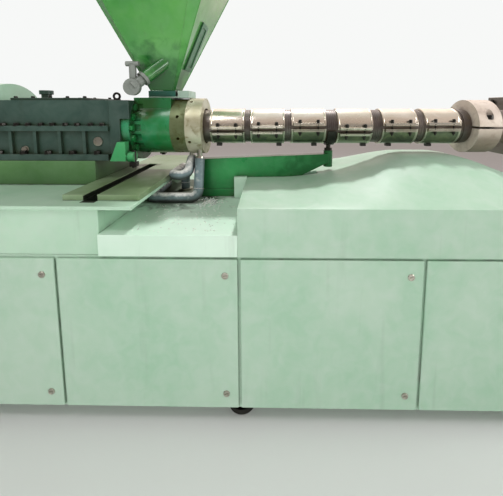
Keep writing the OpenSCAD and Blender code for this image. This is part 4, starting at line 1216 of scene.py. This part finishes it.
# %% Pipe routes
PIPE_R = 0.023
BEND_R = 0.036
PIPE_Y = -0.126
WALL_X = -0.294
DECK_Z = -DECK_DROP
FRONT_X, FRONT_LEFT, FRONT_Z = -0.020, WALL_X + 0.042, DECK_Z + 0.0233
REAR_X, REAR_LEFT, REAR_Z = -0.068, WALL_X + 0.153, -0.225
FRONT_BACK, REAR_BACK = 0.150, 0.090
FRONT_LEG, REAR_LEG = 0.184, 0.110

steep, shallow = Vector((0, 0.28, 0.96)), Vector((0, 0.8, 0.6))
front_corner = on_axis(FRONT_X, PIPE_Y, FRONT_Z)
rear_corner = on_axis(REAR_X, PIPE_Y, REAR_Z)
front_route = [front_corner + steep * FRONT_LEG, front_corner,
               on_axis(FRONT_LEFT, PIPE_Y, FRONT_Z), on_axis(FRONT_LEFT, FRONT_BACK, FRONT_Z),
               on_axis(WALL_X, FRONT_BACK, FRONT_Z)]
rear_route = [rear_corner + shallow * REAR_LEG, rear_corner,
              on_axis(REAR_LEFT, PIPE_Y, REAR_Z), on_axis(REAR_LEFT, REAR_BACK, REAR_Z),
              on_axis(REAR_LEFT, REAR_BACK, DECK_Z)]
print("front pipe's corner at", tuple(round(v, 3) for v in front_corner))

# %% Bent pipes
RING_STEPS = 60
RING_R = 0.0018
RING_SUNK = 0.0004
LONG_LEG = 0.12


def weld_ring(a, b, bm):
    """Add a swollen weld round a pipe from a, just before its bend at b."""
    along = (b - a).normalized()
    side = along.orthogonal().normalized()
    up = along.cross(side)
    joint = b - along * (BEND_R + 0.006)
    turns = [2 * math.pi * k / RING_STEPS for k in range(RING_STEPS + 1)]
    ring = [joint + (side * math.cos(t) + up * math.sin(t)) * (PIPE_R - RING_SUNK)
            for t in turns]
    tube(ring, RING_R, 6, bm, 0.3, 7)


bm = bmesh.new()
for route in (front_route, rear_route):
    tube(bends(route, BEND_R, 14), PIPE_R, 40, bm)
    for a, b in zip(route, route[1:]):
        if (b - a).length > LONG_LEG:
            weld_ring(a, b, bm)
pipes = piece("bent_cooling_pipes", bm, pipe_zinc, ("cooling_pipes",))
eased("pipe_fittings", 0.0012, fitting_steel)
print("pipe faces:", len(pipes.data.polygons))

# %% [markdown]
# ## Clamp and die
# The split clamp is cast iron, machined all over and left bare beside the hot die.  Its
# screws sit in round pockets.  The die body is a block between thick plates, and the die
# ring carries eight threaded holes for whatever tool is fitted to it.  Their solids have
# all this, so they are eased, and only the screws are made again with finer heads.

# %% Clamp, adapter and die
POCKET_R = 0.016
POCKET_Y = END_R + 0.004 + POCKET_R
STEM_HALF, STEM_R = 0.0375, 0.010
HEAD_LIFT = Vector((0, 0, 0.038))
DIE_SCREW = 0.115

eased("clamp_halves", 0.0024, clamp_iron)
eased("die_adapter", 0.0015, adapter_iron)
eased("die_body", 0.0025, die_steel)
eased("die_ring", 0.0022, ring_face_steel)

die_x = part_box("die_body")[0][0]
bm = bmesh.new()
for side in (-1, 1):
    stem = on_axis(CLAMP_X + CLAMP_W / 2, side * POCKET_Y)
    spindle([(-STEM_HALF, STEM_R), (STEM_HALF, STEM_R)], 32, Matrix.Translation(stem), bm)
    cap_screw(0.0145, 0.020, Matrix.Translation(stem + HEAD_LIFT), bm)
    for level in (-1, 1):
        spot = Vector((die_x, side * DIE_SCREW, AXIS_Z + level * DIE_SCREW))
        hex_bolt(0.030, 0.016, facing(spot, (-1, 0, 0), 0.4 * level), bm)
piece("clamp_screws", bm, dark_steel, ("head_bolts",))
print("head done:", len(made))

# %% [markdown]
# ## Bed
# The bed is folded sheet on a frame.  A fold in sheet has a radius of about the sheet's
# thickness, so the table, the deck and the hood get small eased edges.  The doors look
# thicker, because their edges are folded back, so theirs are wider.

# %% Sheet parts
eased("bed_cabinet", 0.0030, mint)
eased("bed_panels", 0.0040, mint, 3)
eased("low_deck", 0.0020, lit_deck_mint)
eased("table_top", 0.0030, table_mint)
eased("slotted_plate", 0.0022, plate_grey)
eased("levelling_feet", 0.0020, dark_steel)
print("sheet parts:", len(made))

# %% [markdown]
# The hood under the barrel is one big folded sheet.  Its solid has flat facets, but real
# sheet rolls softly from one facet to the next.  Smooth shading over the few facets would
# smear the light, and a bevel would only soften a strip.  So the solid is sliced into a
# fine grid, and each point moves to the mean height of the facets around it, with a slight
# wave on top.

# %% Hood's shape
HOOD_LINE = [(0.204, 0.256), (0.450, 0.252), (0.690, 0.212), (0.932, 0.133),
             (1.225, 0.133), (1.333, 0.179), (1.546, 0.256)]
HOOD_START, HOOD_END = HOOD_LINE[0][0], HOOD_LINE[-1][0]
HOOD_EDGE, RIDGE_HALF = 0.258, 0.130
REACH_X, REACH_Y = 0.075, 0.060
WAVE_H = 0.0011
AROUND = range(-3, 4)


def facet_depth(s, y):
    """Depth of the folded hood under the axis, as its flat facets have it."""
    s = min(max(s, HOOD_START), HOOD_END)
    i = max(k for k in range(len(HOOD_LINE) - 1) if HOOD_LINE[k][0] <= s)
    (s0, d0), (s1, d1) = HOOD_LINE[i], HOOD_LINE[i + 1]
    t = (s - s0) / (s1 - s0)
    u = min(max((abs(y) - RIDGE_HALF) / (BED_HALF - RIDGE_HALF), 0.0), 1.0)
    if t + u >= 1:
        return HOOD_EDGE * u + d1 * (1 - u)
    return HOOD_EDGE * u + d1 * t + d0 * (1 - u - t)


def rolled_depth(s, y):
    """The mean depth of the facets around a point, with the reach shrinking at the rims."""
    reach_s = min(REACH_X, s - HOOD_START, HOOD_END - s)
    reach_y = min(REACH_Y, BED_HALF - abs(y))
    total = sum(facet_depth(s + reach_s * a / 3, y + reach_y * b / 3)
                for a in AROUND for b in AROUND)
    wave = WAVE_H * math.sin(9 * s + 2) * math.sin(7 * y + 1) * min(1.0, reach_y / 0.05)
    return total / len(AROUND) ** 2 + wave


print("hood", round(HOOD_END - HOOD_START, 3), "m long")

# %% Rolled hood
SLICES_X, SLICES_Y = 60, 36
FACET_NEAR = 0.009


def slice_at(bm, place, across):
    """Cut every face that a plane through a point passes."""
    bmesh.ops.bisect_plane(bm, geom=bm.verts[:] + bm.edges[:] + bm.faces[:], dist=1e-6,
                           plane_co=place, plane_no=across)


bm = ease(solid_copy("barrel_hood"), 0.0050, 3)
for k in range(1, SLICES_X):
    s = HOOD_START + k * (HOOD_END - HOOD_START) / SLICES_X
    slice_at(bm, Vector((SHOULDER_X + s, 0, 0)), (1, 0, 0))
for k in range(1, SLICES_Y):
    slice_at(bm, Vector((0, -BED_HALF + k * 2 * BED_HALF / SLICES_Y, 0)), (0, 1, 0))
for v in bm.verts:
    s, y, depth = v.co.x - SHOULDER_X, v.co.y, AXIS_Z - v.co.z
    facet = facet_depth(s, y)
    if HOOD_START <= s <= HOOD_END and abs(depth - facet) < FACET_NEAR:
        v.co.z += facet - rolled_depth(s, y)
hood = piece("rolled_hood", bm, mint, ("barrel_hood",), crease=40, even=False)
print("hood faces:", len(hood.data.polygons))

# %% [markdown]
# The doors of the bed close with quarter turns: round buttons with a slot for a coin or a
# screwdriver.  Only their faces show, so each is a flat spindle with a small block in it.

# %% Quarter turns
DOORS = 4
DOOR_GAP = 0.010
END_MARGIN = 0.012
FROM_EDGE, FROM_RAIL = 0.045, 0.06

panels_low, panels_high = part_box("bed_panels")
door_run = panels_high[0] - panels_low[0] - 2 * END_MARGIN
door_w = (door_run - DOOR_GAP * (DOORS + 1)) / DOORS
bm = bmesh.new()
for side in (-1, 1):
    for i in range(DOORS):
        door_end = panels_low[0] + END_MARGIN + (i + 1) * (door_w + DOOR_GAP)
        for z in (panels_low[2] + FROM_RAIL, panels_high[2] - FROM_RAIL):
            spot = Vector((door_end - FROM_EDGE, side * BED_HALF, z))
            at = facing(spot, (0, side, 0), 0.2 * i)
            spindle([(0, 0.0125), (0.002, 0.0125), (0.0035, 0.0112), (0.0038, 0.0085),
                     (0.0028, 0.0080)], 32, at, bm)
            block((-0.0062, -0.0013, 0.0026), (0.0062, 0.0013, 0.0050), 0.0005, at, bm)
piece("door_quarter_turns", bm, fitting_steel)
print("quarter turns:", len(made[-1].data.polygons))

# %% [markdown]
# ## Spilled granules
# Some plastic granules have missed the hopper and lie on the deck.  They are little lenses,
# four to seven millimetres across, heaped by the front pipe and scattered elsewhere.  A
# particle system could spread them, but keeping it off the pipe and the arm takes a painted
# mask.  A list of spots with a fixed seed needs only one test for that, and makes the same
# mesh on every run.

# %% Spilled granules
HEAPED, SCATTERED = 240, 120
HEAPED_D, SCATTERED_D = 0.0064, 0.0055
LENS = 0.62
UNDER_ARM, DECK_END, PIPE_CLEAR = 0.045, 0.195, 0.027

chance = random.Random(11)
spots = []
for _ in range(HEAPED):
    spots.append((chance.gauss(0.026, 0.026), chance.gauss(-0.120, 0.030), HEAPED_D))
for _ in range(SCATTERED):
    spots.append((chance.uniform(-0.20, 0.19), chance.uniform(-0.46, -0.15), SCATTERED_D))

flat = Matrix.Diagonal((1.0, 1.0, LENS, 1.0))
bm = bmesh.new()
for s, y, size in spots:
    in_pipe = abs(y - PIPE_Y) < PIPE_CLEAR and s < 0.004
    if abs(y) < UNDER_ARM or s > DECK_END or in_pipe:
        continue
    r = size / 2 * chance.uniform(0.8, 1.1)
    lean = Matrix.Rotation(chance.uniform(-0.25, 0.25), 4, "X")
    at = Matrix.Translation(on_axis(s, y)) @ lean @ flat
    at.translation.z = AXIS_Z - DECK_DROP + r * 0.60
    bmesh.ops.create_icosphere(bm, subdivisions=1, radius=r, matrix=at)
piece("spilled_granules", bm, granule_white, crease=80, even=False)
print("granules:", len(made[-1].data.polygons) // 20)
print("pieces:", len(made), "triangles:",
      sum(sum(len(f.vertices) - 2 for f in o.data.polygons) for o in made))
